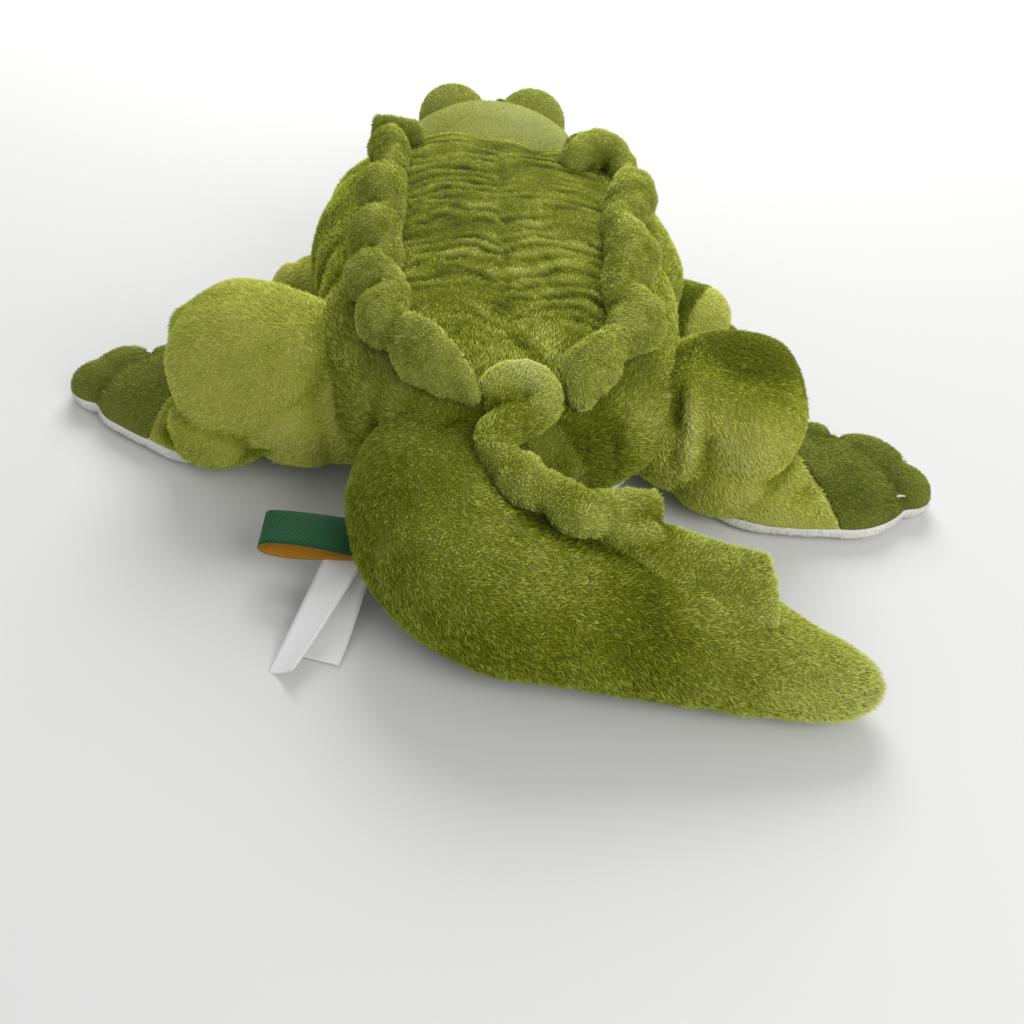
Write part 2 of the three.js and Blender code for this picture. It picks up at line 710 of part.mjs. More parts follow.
function washerSpace() {
  const low = -washerDepth - washerThickness - seamGap;
  const high = -washerDepth + seamGap;
  const outer = washerRadius + seamGap;
  return [[0, low], [outer, low], [outer, high], [0, high]];
}

function eyePieces(side, hand) {
  const halfSizes = at(moundHalfWidth, moundHalfLength, moundRise);
  const mound = solidOf(ovalGeometry(moundCentre(side), halfSizes, eyeMesh));
  return {
    [`${hand}_eye_mound`]: cutBy(
      mound, headSurface(seamGap), onMound(eyeProfile(seamGap), side), onMound(washerSpace(), side),
    ).intersect(sideOf(side, seamGap)),
    [`${hand}_eye`]: onMound(eyeProfile(0), side),
    [`${hand}_eye_washer`]: onMound(washerProfile(), side),
  };
}

function nostril(side) {
  const nostrilShare = 1 - nostrilBack / headLength;
  const spread = Math.acos(nostrilSpread / headForm.halfWidth(nostrilShare));
  const nose = headForm.pointAt(nostrilShare, side > 0 ? spread : Math.PI - spread);
  const bump = solidOf(ovalGeometry(nose, at(nostrilRadius, nostrilRadius, nostrilRadius), rootCoreMesh));
  return cutBy(bump, headSurface(seamGap));
}

// Legs

function legPieces({ name, side, size, root, swing }) {
  const outward = at(side * Math.cos(radians(swing)), Math.sin(radians(swing)), 0);
  const forward = at(-side * outward.y, side * outward.x, 0);
  const place = (out, ahead, height) => root.pivot.clone().addScaledVector(outward, out)
    .addScaledVector(forward, ahead).setZ(height);
  // Everything past an upright plane across the leg, outwards with a way of 1 and inwards with one of -1.
  const past = (out, way) => {
    const half = new THREE.BoxGeometry(overrun, overrun, overrun).translate(out + way * overrun / 2, 0, 0);
    half.rotateZ(Math.atan2(outward.y, outward.x));
    return solidOf(half.translate(root.pivot.x, root.pivot.y, 0));
  };
  const thigh = new StuffedForm({
    spine: [0, 0.5, 1].map((share) => place(
      size.thighReach * share, 0, root.pivot.z + size.thighLift * Math.sin(Math.PI * share),
    )),
    halfWidth: times(size.thighHalfWidth, thighWidthShares),
    rise: times(size.thighRise, thighWidthShares),
    drop: times(size.thighDrop, thighWidthShares),
    roundShare: thighRoundShare,
    squareness: limbSectionExponent,
  });
  const foot = new StuffedForm({
    spine: [
      place(size.footHeel, size.footForward, size.soleHeight),
      place(THREE.MathUtils.lerp(size.footHeel, size.footReach, 0.5), 0, size.soleHeight),
      place(size.footReach, size.footForward, size.soleHeight),
    ],
    halfWidth: times(size.footHalfWidth, footWidthShares),
    rise: times(size.footRise, footRiseShares),
    drop: () => size.soleHeight + floorFlat,
    roundShare: footRoundShare,
    squareness: limbSectionExponent,
  });
  const toes = toeSpots.map(({ outShare, aheadShare }) => solidOf(ovalGeometry(
    place(size.footReach * outShare, size.footHalfWidth * aheadShare, size.toeLift),
    at(size.toeRadius, size.toeRadius, size.toeRise - size.toeLift + floorFlat),
    toeMesh,
  )));
  const outerLimb = joined(
    cutBy(thigh.solid(limbMesh), torsoAround(root, turnDegrees.leg)), rootBall(root),
  );
  const outerFoot = joined(foot.solid(limbMesh), ...toes).intersect(floorLevel);
  const layer = (depth) => joined(
    cutBy(thigh.solid(coreMesh, -depth), torsoWithin(root, turnDegrees.leg, depth)),
    rootBall(root, -depth, rootCoreMesh),
    foot.solid(coreMesh, -depth).intersect(above(size.soleHeight + depth - cloth)),
  );
  const hollow = layer(cloth);
  const overSole = outerFoot.intersect(above(size.soleHeight + seamGap));
  const limbSpace = joined(thigh.solid(limbMesh, seamGap), rootBall(root, seamGap));
  return {
    [`${name}_leg_cover`]: cutBy(
      joined(outerLimb, cutBy(overSole, past(size.footSeam - seamGap, 1))),
      hollow, past(-size.rootRadius * rootMouthShare, -1),
    ),
    [`${name}_foot_top`]: cutBy(overSole.intersect(past(size.footSeam, 1)), limbSpace, hollow),
    [`${name}_sole`]: cutBy(outerFoot.intersect(below(size.soleHeight)), limbSpace, hollow),
    [`${name}_leg_filling`]: layer(cloth + seamGap),
  };
}

// Labels

// A ribbon of even thickness along a line in an upright plane, as wide as it is extruded.
function ribbon(line, thickness, width, place, heading) {
  const sides = [1, -1].map((hand) => line.map((point, index) => {
    const before = line[Math.max(index - 1, 0)];
    const after = line[Math.min(index + 1, line.length - 1)];
    const along = after.clone().sub(before).normalize();
    return point.clone().add(new THREE.Vector2(-along.y, along.x).multiplyScalar(hand * thickness / 2));
  }));
  const band = new THREE.ExtrudeGeometry(
    new THREE.Shape([...sides[0], ...sides[1].reverse()]), { depth: width, bevelEnabled: false },
  );
  const out = at(Math.cos(heading), Math.sin(heading), 0);
  const across = out.clone().cross(up);
  band.translate(0, 0, -width / 2);
  band.applyMatrix4(new THREE.Matrix4().makeBasis(out, up, across).setPosition(place));
  return solidOf(band);
}

function labelPieces() {
  const loopHeading = Math.PI;
  const seam = (height) => tailForm.pointAt(labelShare, 0).setZ(height);
  const flat = (x, y) => new THREE.Vector2(x, y);
  const loopLine = new THREE.SplineCurve([
    flat(-loopWidth, 0), flat(loopLength / 2, loopGap / 2), flat(loopLength - loopGap / 2, loopGap / 2),
    flat(loopLength, 0), flat(loopLength - loopGap / 2, -loopGap / 2), flat(loopLength / 2, -loopGap / 2),
    flat(-loopWidth, -2 * loopThickness),
  ]).getPoints(ribbonStepCount);
  const careFall = careHeight - careFloorGap;
  const leaf = (lift) => [
    ...careFallShares.map(([out, down]) => flat(careReach * out, lift - careFall * down)),
    flat(0, lift / 2 - careLeafGap),
  ];
  const careLine = new THREE.SplineCurve([
    ...leaf(careLeafGap + careThickness), flat(-loopWidth, 0), ...leaf(0).reverse(),
  ]).getPoints(ribbonStepCount);
  const under = [tailForm.solid(tailMesh, seamGap), rootBall(tailRoot, seamGap)];
  const loop = ribbon(loopLine, loopThickness, loopWidth, seam(loopHeight), loopHeading);
  const careHeading = loopHeading + radians(careTurnDegrees);
  const care = ribbon(careLine, careThickness, careWidth, seam(careHeight), careHeading);
  return {
    woven_loop_label: cutBy(loop, ...under),
    care_label: cutBy(care, ...under),
  };
}

// Colours

const finishes = {
  back_plush: { color: 0x6f8a2a, roughness: 0.95 },
  leg_plush: { color: 0x93a83c, roughness: 0.95 },
  foot_plush: { color: 0x5c7a30, roughness: 0.95 },
  cream_plush: { color: 0xeae6d6, roughness: 0.95 },
  filling: { color: 0xf2f2ee, roughness: 1 },
  pouch_cloth: { color: 0xd8d4c8, roughness: 0.9 },
  felt: { color: 0xf4f1e6, roughness: 0.95 },
  mouth_felt: { color: 0xb8605a, roughness: 0.95 },
  eye_plastic: { color: 0xb98a1e, roughness: 0.12 },
  washer_plastic: { color: 0xe8e8e8, roughness: 0.5 },
  woven_ribbon: { color: 0x1f5a38, roughness: 0.7 },
  satin_ribbon: { color: 0xf4f4f2, roughness: 0.5 },
};

const group = new THREE.Group();

// Adds each solid as a mesh of its own, with the finish of its kind.
function add(solids, finishOf) {
  for (const [name, solid] of Object.entries(solids)) {
    const material = new THREE.MeshStandardMaterial({ ...finishes[finishOf(name)], metalness: 0 });
    const mesh = new THREE.Mesh(geometryOf(solid), material);
    mesh.name = name;
    group.add(mesh);
  }
}

const fillingOr = (finish) => (name) => (name.endsWith('filling') ? 'filling' : finish);

const torsoFinishes = {
  back_cover: 'back_plush', belly_panel: 'cream_plush', torso_filling: 'filling', pellet_pouch: 'pouch_cloth',
};
const legFinishes = { cover: 'leg_plush', top: 'foot_plush', sole: 'cream_plush', filling: 'filling' };
const eyeFinishes = { mound: 'back_plush', eye: 'eye_plastic', washer: 'washer_plastic' };
const labelFinishes = { woven_loop_label: 'woven_ribbon', care_label: 'satin_ribbon' };
const lastWord = (name) => name.split('_').pop();

add(torsoPieces(), (name) => torsoFinishes[name]);
add({ left_back_crest: backCrest(-1), right_back_crest: backCrest(1) }, () => 'back_plush');
add(tailPieces(), fillingOr('back_plush'));
add(tailCrests(), () => 'back_plush');
add(labelPieces(), (name) => labelFinishes[name]);
add(headPieces(), fillingOr('leg_plush'));
add(jawPieces(), fillingOr('cream_plush'));
add(mouthLinings(), () => 'mouth_felt');
add({ left_teeth: teeth(-1), right_teeth: teeth(1) }, () => 'felt');
for (const [hand, side] of [['left', -1], ['right', 1]]) {
  add(eyePieces(side, hand), (name) => eyeFinishes[lastWord(name)]);
  add({ [`${hand}_nostril`]: nostril(side) }, () => 'back_plush');
}
for (const leg of legs) add(legPieces(leg), (name) => legFinishes[lastWord(name)]);

export default group;
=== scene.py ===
# %% [markdown]
# # A plush crocodile that lies on its belly
#
# The real toy is sewn from short-pile plush, stuffed soft, and lies flat with its four legs spread and its
# tail curled round to its own right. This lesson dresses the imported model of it: each soft part becomes a
# closed, stuffed form, and a coat of small leaning tufts is combed over the forms that have a pile.

import math

import bmesh
import bpy
import numpy as np
from mathutils import Matrix, Vector, kdtree, noise


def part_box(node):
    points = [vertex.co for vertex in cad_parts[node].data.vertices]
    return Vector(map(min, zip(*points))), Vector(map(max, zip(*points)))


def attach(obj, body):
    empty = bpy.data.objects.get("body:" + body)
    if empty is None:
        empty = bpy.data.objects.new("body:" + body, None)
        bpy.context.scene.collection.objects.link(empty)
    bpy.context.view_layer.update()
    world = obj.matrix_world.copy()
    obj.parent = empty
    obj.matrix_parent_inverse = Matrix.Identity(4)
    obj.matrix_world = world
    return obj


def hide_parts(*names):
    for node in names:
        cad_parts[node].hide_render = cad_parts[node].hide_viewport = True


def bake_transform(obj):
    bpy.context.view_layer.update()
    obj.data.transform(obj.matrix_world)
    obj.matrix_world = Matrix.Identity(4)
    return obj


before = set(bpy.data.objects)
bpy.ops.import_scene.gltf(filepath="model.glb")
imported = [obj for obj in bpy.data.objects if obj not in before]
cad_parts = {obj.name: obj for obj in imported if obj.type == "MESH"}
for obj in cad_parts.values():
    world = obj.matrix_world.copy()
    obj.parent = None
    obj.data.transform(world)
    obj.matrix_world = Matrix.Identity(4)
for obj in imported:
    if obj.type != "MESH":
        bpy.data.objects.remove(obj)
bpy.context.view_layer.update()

MM = 0.001  # all the lengths below are in millimetres

# %% [markdown]
# The camera comes first, because every later choice is judged through it. It looks down on the toy from
# behind its tail, from little more than half a metre away, so the tail is large and the head is small.

# %% The camera
aim_point = Vector((6, -130, 25))
camera_distance = 565
camera_azimuth, camera_elevation, camera_roll = (math.radians(angle) for angle in (-6, 42, 6))
focal_pixels, frame_pixels, sensor_width = 1100, 1024, 36

back = Vector((
    math.sin(camera_azimuth) * math.cos(camera_elevation),
    -math.cos(camera_azimuth) * math.cos(camera_elevation),
    math.sin(camera_elevation),
))
level_right = (-back).cross(Vector((0, 0, 1))).normalized()
level_up = level_right.cross(-back)
camera_right = level_right * math.cos(camera_roll) + level_up * math.sin(camera_roll)
camera_up = camera_right.cross(-back)

camera_data = bpy.data.cameras.new("camera")
camera_data.sensor_width = sensor_width
camera_data.lens = focal_pixels / frame_pixels * sensor_width
camera = bpy.data.objects.new("camera", camera_data)
bpy.context.scene.collection.objects.link(camera)
turn = Matrix((camera_right, camera_up, back)).transposed().to_4x4()
camera.matrix_world = Matrix.Translation((aim_point + back * camera_distance) * MM) @ turn
bpy.context.scene.camera = camera
print(f"camera: {camera_data.lens:.1f} mm lens, {camera_distance} mm away")

# %% [markdown]
# A stuffed form is a row of rounded sections along a line, like a balloon with a bent spine. The sizes
# swell and taper along it, and a short round cap closes each end. Two small tools describe it: one reads
# a size between the rows of a table, and one runs a smooth line through points and walks along it evenly.

# %% Tables and lines


def read_table(table):
    """A smooth function through rows of (share of the length, size)."""
    xs = np.array([row[0] for row in table], float)
    ys = np.array([row[1] for row in table], float)

    def read(share):
        share = np.clip(np.asarray(share, float), xs[0], xs[-1])
        right = np.clip(np.searchsorted(xs, share, side="right"), 1, len(xs) - 1)
        left = right - 1
        slope = np.diff(ys) / np.diff(xs)
        tangents = np.concatenate(([slope[0]], (slope[1:] + slope[:-1]) / 2, [slope[-1]]))
        span = xs[right] - xs[left]
        t = (share - xs[left]) / span
        return (
            (2 * t**3 - 3 * t**2 + 1) * ys[left] + (t**3 - 2 * t**2 + t) * span * tangents[left]
            + (3 * t**2 - 2 * t**3) * ys[right] + (t**3 - t**2) * span * tangents[right]
        )

    return read


def smoothstep(value, low, high):
    t = np.clip((np.asarray(value, float) - low) / (high - low), 0, 1)
    return t * t * (3 - 2 * t)


class Line:
    """A smooth line through points, walked by share of its length."""

    def __init__(self, points, steps_each=60):
        points = np.array(points, float)
        padded = np.vstack((2 * points[0] - points[1], points, 2 * points[-1] - points[-2]))
        walk = []
        for i in range(len(points) - 1):
            a, b, c, d = padded[i : i + 4]
            gaps = [max(np.linalg.norm(q - p), 1e-6) ** 0.5 for p, q in ((a, b), (b, c), (c, d))]
            start = (b - a) / gaps[0] - (c - a) / (gaps[0] + gaps[1]) + (c - b) / gaps[1]
            end = (c - b) / gaps[1] - (d - b) / (gaps[1] + gaps[2]) + (d - c) / gaps[2]
            t = np.linspace(0, 1, steps_each, endpoint=False)[:, None]
            walk.append(
                (2 * t**3 - 3 * t**2 + 1) * b + (t**3 - 2 * t**2 + t) * start * gaps[1]
                + (3 * t**2 - 2 * t**3) * c + (t**3 - t**2) * end * gaps[1]
            )
        self.walk = np.vstack((*walk, points[-1:]))
        steps = np.linalg.norm(np.diff(self.walk, axis=0), axis=1)
        self.length = steps.sum()
        self.shares = np.concatenate(([0], np.cumsum(steps))) / self.length

    def at(self, share):
        share = np.asarray(share, float)
        return np.stack([np.interp(share, self.shares, self.walk[:, axis]) for axis in range(3)], -1)

    def along(self, share, reach=0.01):
        share = np.asarray(share, float)
        step = self.at(np.clip(share + reach, 0, 1)) - self.at(np.clip(share - reach, 0, 1))
        return unit(step)


def unit(vectors):
    return vectors / np.maximum(np.linalg.norm(vectors, axis=-1, keepdims=True), 1e-9)


class StuffedForm:
    """Rounded sections along a line, with a round cap at each end."""

    def __init__(self, spine, half_width, rise, drop, round_share, exponent=2.2):
        self.line = Line(spine)
        self.half_width, self.rise, self.drop = half_width, rise, drop
        self.round_share, self.exponent = round_share, exponent

    def at(self, share, angle, grow=0):
        """The point at a share of the length and an angle from the right side (0) over the top."""
        share, angle = np.broadcast_arrays(np.asarray(share, float), np.asarray(angle, float))
        along = self.line.along(share)
        right = unit(np.cross(along, (0, 0, 1)))
        top = np.cross(right, along)
        from_end = np.clip(np.minimum(share, 1 - share) / self.round_share, 0, 1)
        closed = np.sqrt(1 - (1 - from_end) ** 2)
        bend = lambda value: np.sign(value) * np.abs(value) ** (2 / self.exponent)
        high = np.where(np.sin(angle) >= 0, self.rise(share), self.drop(share))
        return (
            self.line.at(share)
            + along * (grow * (2 * share - 1))[..., None]
            + right * (bend(np.cos(angle)) * (self.half_width(share) + grow) * closed)[..., None]
            + top * (bend(np.sin(angle)) * (high + grow) * closed)[..., None]
        )


def shares_on(form, points, samples=500):
    """Where along a form's line each point is nearest, as a share of its length."""
    steps = np.linspace(0, 1, samples)
    tree = kdtree.KDTree(samples)
    for index, spot in enumerate(form.line.at(steps)):
        tree.insert(Vector(spot), index)
    tree.balance()
    return np.array([steps[tree.find(Vector(point))[1]] for point in points])


def sized(size, table):
    """A size that swells and tapers along a form as a table says."""
    read = read_table(table)
    return lambda share: size * read(share)


def even(size):
    """The same size all along a form."""
    return lambda share: np.full_like(share, size)


# %% [markdown]
# Every skin starts as a UV sphere from bmesh, whose rings become the sections of the form. Its poles are
# closed, its faces already point outwards, and its own UV map lies along and round the form.

# %% From a sphere to a skin


def link(name, mesh):
    piece = bpy.data.objects.new(name, mesh)
    bpy.context.scene.collection.objects.link(piece)
    mesh.shade_smooth()
    return piece


def piece_from(name, bm):
    """A new object from a bmesh, which is used up."""
    mesh = bpy.data.meshes.new(name)
    bm.to_mesh(mesh)
    bm.free()
    return link(name, mesh)


def places(piece):
    """The piece's vertices, in millimetres."""
    flat = np.empty(len(piece.data.vertices) * 3, np.float32)
    piece.data.vertices.foreach_get("co", flat)
    return flat.reshape(-1, 3).astype(float) / MM


def put(piece, points):
    piece.data.vertices.foreach_set("co", (points * MM).astype(np.float32).ravel())
    piece.data.update()


def outwards(piece):
    """The direction in which the surface faces at each vertex."""
    flat = np.empty(len(piece.data.vertices) * 3, np.float32)
    piece.data.vertex_normals.foreach_get("vector", flat)
    return flat.reshape(-1, 3).astype(float)


def attribute(piece, name, values=None):
    """Reads or writes a number or a direction that each vertex carries."""
    mesh = piece.data
    if values is None:
        stored = mesh.attributes[name]
        size = 3 if stored.data_type == "FLOAT_VECTOR" else 1
        flat = np.empty(len(mesh.vertices) * size, np.float32)
        stored.data.foreach_get("vector" if size == 3 else "value", flat)
        return flat.reshape(-1, 3).astype(float) if size == 3 else flat.astype(float)
    kind = "FLOAT_VECTOR" if values.ndim == 2 else "FLOAT"
    stored = mesh.attributes.get(name) or mesh.attributes.new(name, kind, "POINT")
    stored.data.foreach_set("vector" if values.ndim == 2 else "value", values.astype(np.float32).ravel())
    return values


def stuffed_skin(name, form, rings, points):
    """A closed skin over a form, which remembers where on the form each vertex is."""
    bm = bmesh.new()
    bmesh.ops.create_uvsphere(bm, u_segments=points, v_segments=rings, radius=1, calc_uvs=True)
    skin = piece_from(name, bm)
    sphere = places(skin) * MM
    share = (1 - np.clip(sphere[:, 2], -1, 1)) / 2
    angle = np.arctan2(sphere[:, 1], sphere[:, 0])
    put(skin, form.at(share, angle))
    attribute(skin, "share", share)
    attribute(skin, "angle", angle)
    step = 0.004
    ahead = form.at(np.clip(share + step, 0, 1), angle) - form.at(np.clip(share - step, 0, 1), angle)
    attribute(skin, "nap", unit(ahead))
    attribute(skin, "tint", np.zeros(len(share)))
    attribute(skin, "pile", np.ones(len(share)))
    return skin


def swell(piece, amount):
    """Moves each vertex outwards by its own amount."""
    put(piece, places(piece) + outwards(piece) * np.asarray(amount)[:, None])


def press_flat(piece, points):
    """Puts the piece's vertices in place, with none of them under the floor."""
    points[:, 2] = np.maximum(points[:, 2], floor_level)
    put(piece, points)


def lumps(points, size, seed=0):
    """Soft noise from -1 to 1, with lumps of about the given size."""
    shift = Vector((seed * 17.3, seed * -9.1, seed * 4.7))
    return np.array([noise.noise(Vector(p) / size + shift) for p in points])


def near_line(points, start, end):
    """The distance of each point from a straight line between two others, and its share along it."""
    start, end = np.array(start, float), np.array(end, float)
    run = end - start
    share = np.clip(((points - start) @ run) / (run @ run), 0, 1)
    return np.linalg.norm(points - start - share[:, None] * run, axis=1), share


def crease(points, line, width, depth):
    """A valley (or with a negative depth a ridge) along a chain of points, which fades at both ends."""
    amount = np.zeros(len(points))
    count = len(line) - 1
    for i, (start, end) in enumerate(zip(line, line[1:])):
        distance, share = near_line(points, start, end)
        whole = (i + share) / count
        fade = np.sin(np.pi * np.clip(whole, 0.02, 0.98)) ** 0.6
        amount = np.maximum(amount, np.exp(-((distance / width) ** 2)) * fade)
    return -depth * amount


def hollows(piece, rounds=20):
    """How deep each vertex lies in a hollow (or above one, with a minus), in millimetres."""
    mesh = piece.data
    ends = np.empty(len(mesh.edges) * 2, np.int32)
    mesh.edges.foreach_get("vertices", ends)
    ends = ends.reshape(-1, 2)
    both = np.concatenate((ends[:, 0], ends[:, 1])), np.concatenate((ends[:, 1], ends[:, 0]))
    count = len(mesh.vertices)
    near = np.maximum(np.bincount(both[0], minlength=count), 1)
    points = places(piece)
    smooth = points.copy()
    for _ in range(rounds):
        smooth = np.stack(
            [np.bincount(both[0], smooth[both[1], axis], count) / near for axis in range(3)], 1,
        )
    return np.sum((smooth - points) * outwards(piece), axis=1)


def patches(points, spots):
    """Soft spots that add up, (centre, radius, amount) each: in a tint painted sheen, or with a minus painted
    shade; elsewhere a swelling or a longer pile.
    """
    amount = np.zeros(len(points))
    for centre, radius, strength in spots:
        amount += strength * np.exp(-np.sum((points - np.array(centre, float)) ** 2, axis=1) / radius**2)
    return amount


# %% [markdown]
# ## The torso
#
# A wide, low bag: green plush over the back, cream plush under the belly, joined by a seam low on the
# flanks. The back has a panel between the two crests that is gathered into ribs, and a seam down its
# middle. The ribs stand a millimetre or two high and throw shadows, so they are waves of the surface
# itself and not bump in the material.

# %% The torso's form
floor_level = 0.0
torso_height = 53.5
torso_rear, torso_front = -145, 172
belly_seam_height = 34
torso_widths = [
    (0, 0.54), (0.14, 0.76), (0.27, 0.87), (0.43, 0.95), (0.65, 1), (0.8, 0.99), (0.93, 0.95), (1, 0.88),
]
torso_rises = [(0, 0.6), (0.14, 0.8), (0.35, 0.95), (0.55, 1), (0.8, 0.94), (1, 0.78)]
torso_drops = [(0, 0.62), (0.14, 0.84), (0.35, 0.99), (0.55, 1), (0.8, 0.98), (1, 0.76)]
torso_form = StuffedForm(
    [(0, y, torso_height) for y in (torso_rear, 0, torso_front)],
    sized(108, torso_widths), sized(60, torso_rises), sized(54, torso_drops), 0.12,
)
# How far down from the middle of the back each crest runs, as a share of a quarter turn
crest_lean = read_table([
    (0, 0.1), (0.11, 0.27), (0.27, 0.43), (0.55, 0.45), (0.74, 0.44), (0.89, 0.38), (1, 0.34),
])


def torso_share(y):
    return (y - torso_rear) / (torso_front - torso_rear)


torso = stuffed_skin("torso", torso_form, 200, 240)
spots = places(torso)
share, angle = attribute(torso, "share"), attribute(torso, "angle")
from_top = np.abs(angle - np.pi / 2) / (np.pi / 2)
in_panel = 1 - smoothstep(from_top, crest_lean(share) - 0.12, crest_lean(share) - 0.02)
in_panel *= smoothstep(share, 0.12, 0.3) * (1 - smoothstep(share, 0.9, 0.97)) * (spots[:, 2] > torso_height)

# %% [markdown]
# Each rib rises steeply on the tail's side and falls slowly towards the head. Noise bends the ribs, lets
# some of them fade, and adds finer pleats between them. The two sides of the middle seam are out of step.

# %% Ribs across the back
rib_pitch, rib_depth, rib_arch = 11.0, 1.5, 8.0
across = from_top / crest_lean(share)
arched = rib_arch * (1 - (2 * np.clip(across, 0, 1) - 1) ** 2)
wobble = lumps(spots, 30, 1) * 8 + lumps(spots * (0.5, 1, 1), 9, 2) * 5
offset = np.where(spots[:, 0] > 0, 0.45 * rib_pitch, 0)


def pleats(phase):
    """Pleats that rise steeply on the tail's side and fall slowly towards the head."""
    return np.sin(np.pi * np.mod(phase, 1.0) ** 0.6)


phase = (spots[:, 1] - arched + wobble + offset) / rib_pitch
strength = np.clip(0.7 + 1.5 * lumps(spots * (0.7, 1.6, 1), 20, 3), 0.05, 1.5)
fine = pleats(2.2 * phase + lumps(spots, 22, 8)) * np.clip(0.5 + 1.4 * lumps(spots, 22, 9), 0, 1)
pleat = (pleats(phase) - 0.6) * strength + 0.5 * (fine - 0.5)
shadow = (1 - pleats(phase)) ** 2.5 * strength + 0.6 * (1 - fine) ** 3 * (fine > 0)
ribs = rib_depth * pleat * in_panel
seam = -0.5 * np.exp(-((spots[:, 0] - 2 * lumps(spots, 60, 5)) / 2.6) ** 2) * in_panel
stuffing = 1.8 * lumps(spots, 55, 4) + 0.9 * lumps(spots, 20, 6)
swell(torso, ribs + seam + stuffing)
attribute(torso, "pile", 1 - 0.45 * in_panel)
print(f"torso: {len(spots)} vertices, ribs every {rib_pitch} mm")

# %% [markdown]
# The bag is pinched where the seam is sewn, folds run down its flanks and rump, and it bulges where the legs
# are stuffed into it. Behind the right leg is a hollow, which the end of the tail swings into.

# %% Folds, shoulders and the edge of the panel
spots = places(torso)
belly_pinch = -2.2 * np.exp(-((spots[:, 2] - belly_seam_height) / 4) ** 2)
folds = np.zeros(len(spots))
# Each row: where along the toy the fold starts and ends, how far out it lies, and its depth
flank_folds = ((60, 38, 96, 3), (30, 8, 100, 3.5), (118, 108, 100, 2.5), (-6, -22, 98, 2.5))
for side in (-1, 1):
    for y_top, y_low, reach, depth in flank_folds:
        high = (side * (reach - 14), y_top, 88)
        middle = (side * reach, (y_top + y_low) / 2, 66)
        low = (side * (reach + 2), y_low, 42)
        folds += crease(spots, [high, middle, low], 6, depth)
rump_folds = [
    [(-58, -104, 84), (-66, -122, 66), (-62, -136, 44)], [(-44, -118, 88), (-54, -134, 66), (-52, -142, 44)],
    [(-2, -84, 106), (10, -98, 103), (22, -112, 96)], [(52, -124, 78), (60, -130, 60), (62, -134, 44)],
]
for line in rump_folds:
    folds += crease(spots, line, 4.5, 2.4)
shoulders = patches(spots, [
    ((-104, 84, 40), 30, 8), ((106, 66, 42), 34, 12), ((-92, -46, 64), 34, 7), ((90, -52, 62), 30, 4),
    ((64, -130, 56), 22, -5),
])
swell(torso, belly_pinch + folds + shoulders)
spots = places(torso)
on_top = smoothstep(spots[:, 2], 84, 98) * smoothstep(spots[:, 1], 96, 124)
panel_edge = 10 * np.exp(-((spots[:, 0] + 34) / 20) ** 2) - 8 * np.exp(-((spots[:, 0] - 34) / 26) ** 2)
spots[:, 1] += on_top * (panel_edge + 2 * np.sin(spots[:, 0] / 5.0))
press_flat(torso, spots)
# Patches of painted sheen and painted shade: lighter in places on top and on the right, darker on the left
# flank and in the hollow where the tail meets the rump.
painted_sheen_and_shade = patches(spots, [
    ((12, -94, 102), 20, 0.25), ((-8, -60, 108), 26, 0.2), ((30, -20, 108), 26, 0.35),
    ((-30, 20, 108), 26, -0.3), ((-96, 70, 70), 36, -0.5), ((-92, 0, 60), 32, -0.45),
    ((-66, -92, 80), 26, 0.25), ((-74, -120, 50), 26, -0.35), ((40, -132, 62), 24, -0.8),
    ((70, -112, 70), 20, 0.4), ((96, 0, 62), 30, 0.2), ((0, 120, 110), 30, -0.35),
])
# Painted light in the torso's tint: the patches above, painted shade in the hollows, and on the panel a
# painted highlight on each pleat's top, a painted shadow in its valley, and the panel a little darker
# overall.
attribute(torso, "tint", painted_sheen_and_shade - 0.5 * hollows(torso) + in_panel * (0.5 * pleat - 0.4 * shadow - 0.15))

# %% [markdown]
# The torso is cut at the seam between the two cloths. A bisect leaves an open rim, and filling it closes
# each half again, which keeps both of them solid.

# %% Cutting a skin in two


def cut_form(bm, point, normal, keep_above):
    """The same bmesh, closed again with a lid after a plane has cut it."""
    cut = bmesh.ops.bisect_plane(
        bm, geom=bm.verts[:] + bm.edges[:] + bm.faces[:], dist=1e-7,
        plane_co=Vector(point) * MM, plane_no=Vector(normal),
        clear_inner=keep_above, clear_outer=not keep_above,
    )
    rim = [item for item in cut["geom_cut"] if isinstance(item, bmesh.types.BMEdge)]
    lid = bm.faces.layers.int.get("lid") or bm.faces.layers.int.new("lid")
    for face in bmesh.ops.holes_fill(bm, edges=rim, sides=0)["faces"]:
        face[lid] = 1
    bmesh.ops.triangulate(bm, faces=[face for face in bm.faces if len(face.verts) > 4])
    return bm


def cut_skin(piece, name, point, normal, keep_above):
    """A closed copy of what lies on one side of a plane."""
    bm = bmesh.new()
    bm.from_mesh(piece.data)
    return piece_from(name, cut_form(bm, point, normal, keep_above))


seam_gap = 0.3
upright = (0, 0, 1)
back_skin = cut_skin(torso, "back_skin", (0, 0, belly_seam_height), upright, True)
belly_skin = cut_skin(torso, "belly_skin", (0, 0, belly_seam_height - seam_gap), upright, False)
bpy.data.objects.remove(torso)
print(f"back: {len(back_skin.data.polygons)} faces, belly: {len(belly_skin.data.polygons)} faces")

# %% [markdown]
# ## The crests
#
# Two ruffles run along the edges of the back panel. On the toy each is a strip of plush folded double and
# caught down every few centimetres, so it stands up in puffy lobes with a pinch between each two. They stand
# on the back, so their lines need to know how high it is at any spot.

# %% The height of the back


def back_height(x, y):
    """How high the torso's form is above a spot on the floor."""
    share = torso_share(y)
    closed = math.sqrt(1 - (1 - min(min(share, 1 - share) / torso_form.round_share, 1)) ** 2)
    aside = min(abs(x) / (float(torso_form.half_width(share)) * closed), 1) ** (torso_form.exponent / 2)
    rise = float(torso_form.rise(share)) * closed * math.sqrt(1 - aside**2) ** (2 / torso_form.exponent)
    return torso_height + rise


# %% [markdown]
# Where one stuffed part runs into another, the two forms are melted into one skin by a voxel remesh and then
# smoothed, as cloth bridges the inner corners of a stuffed toy.

# %% Melting forms into one skin


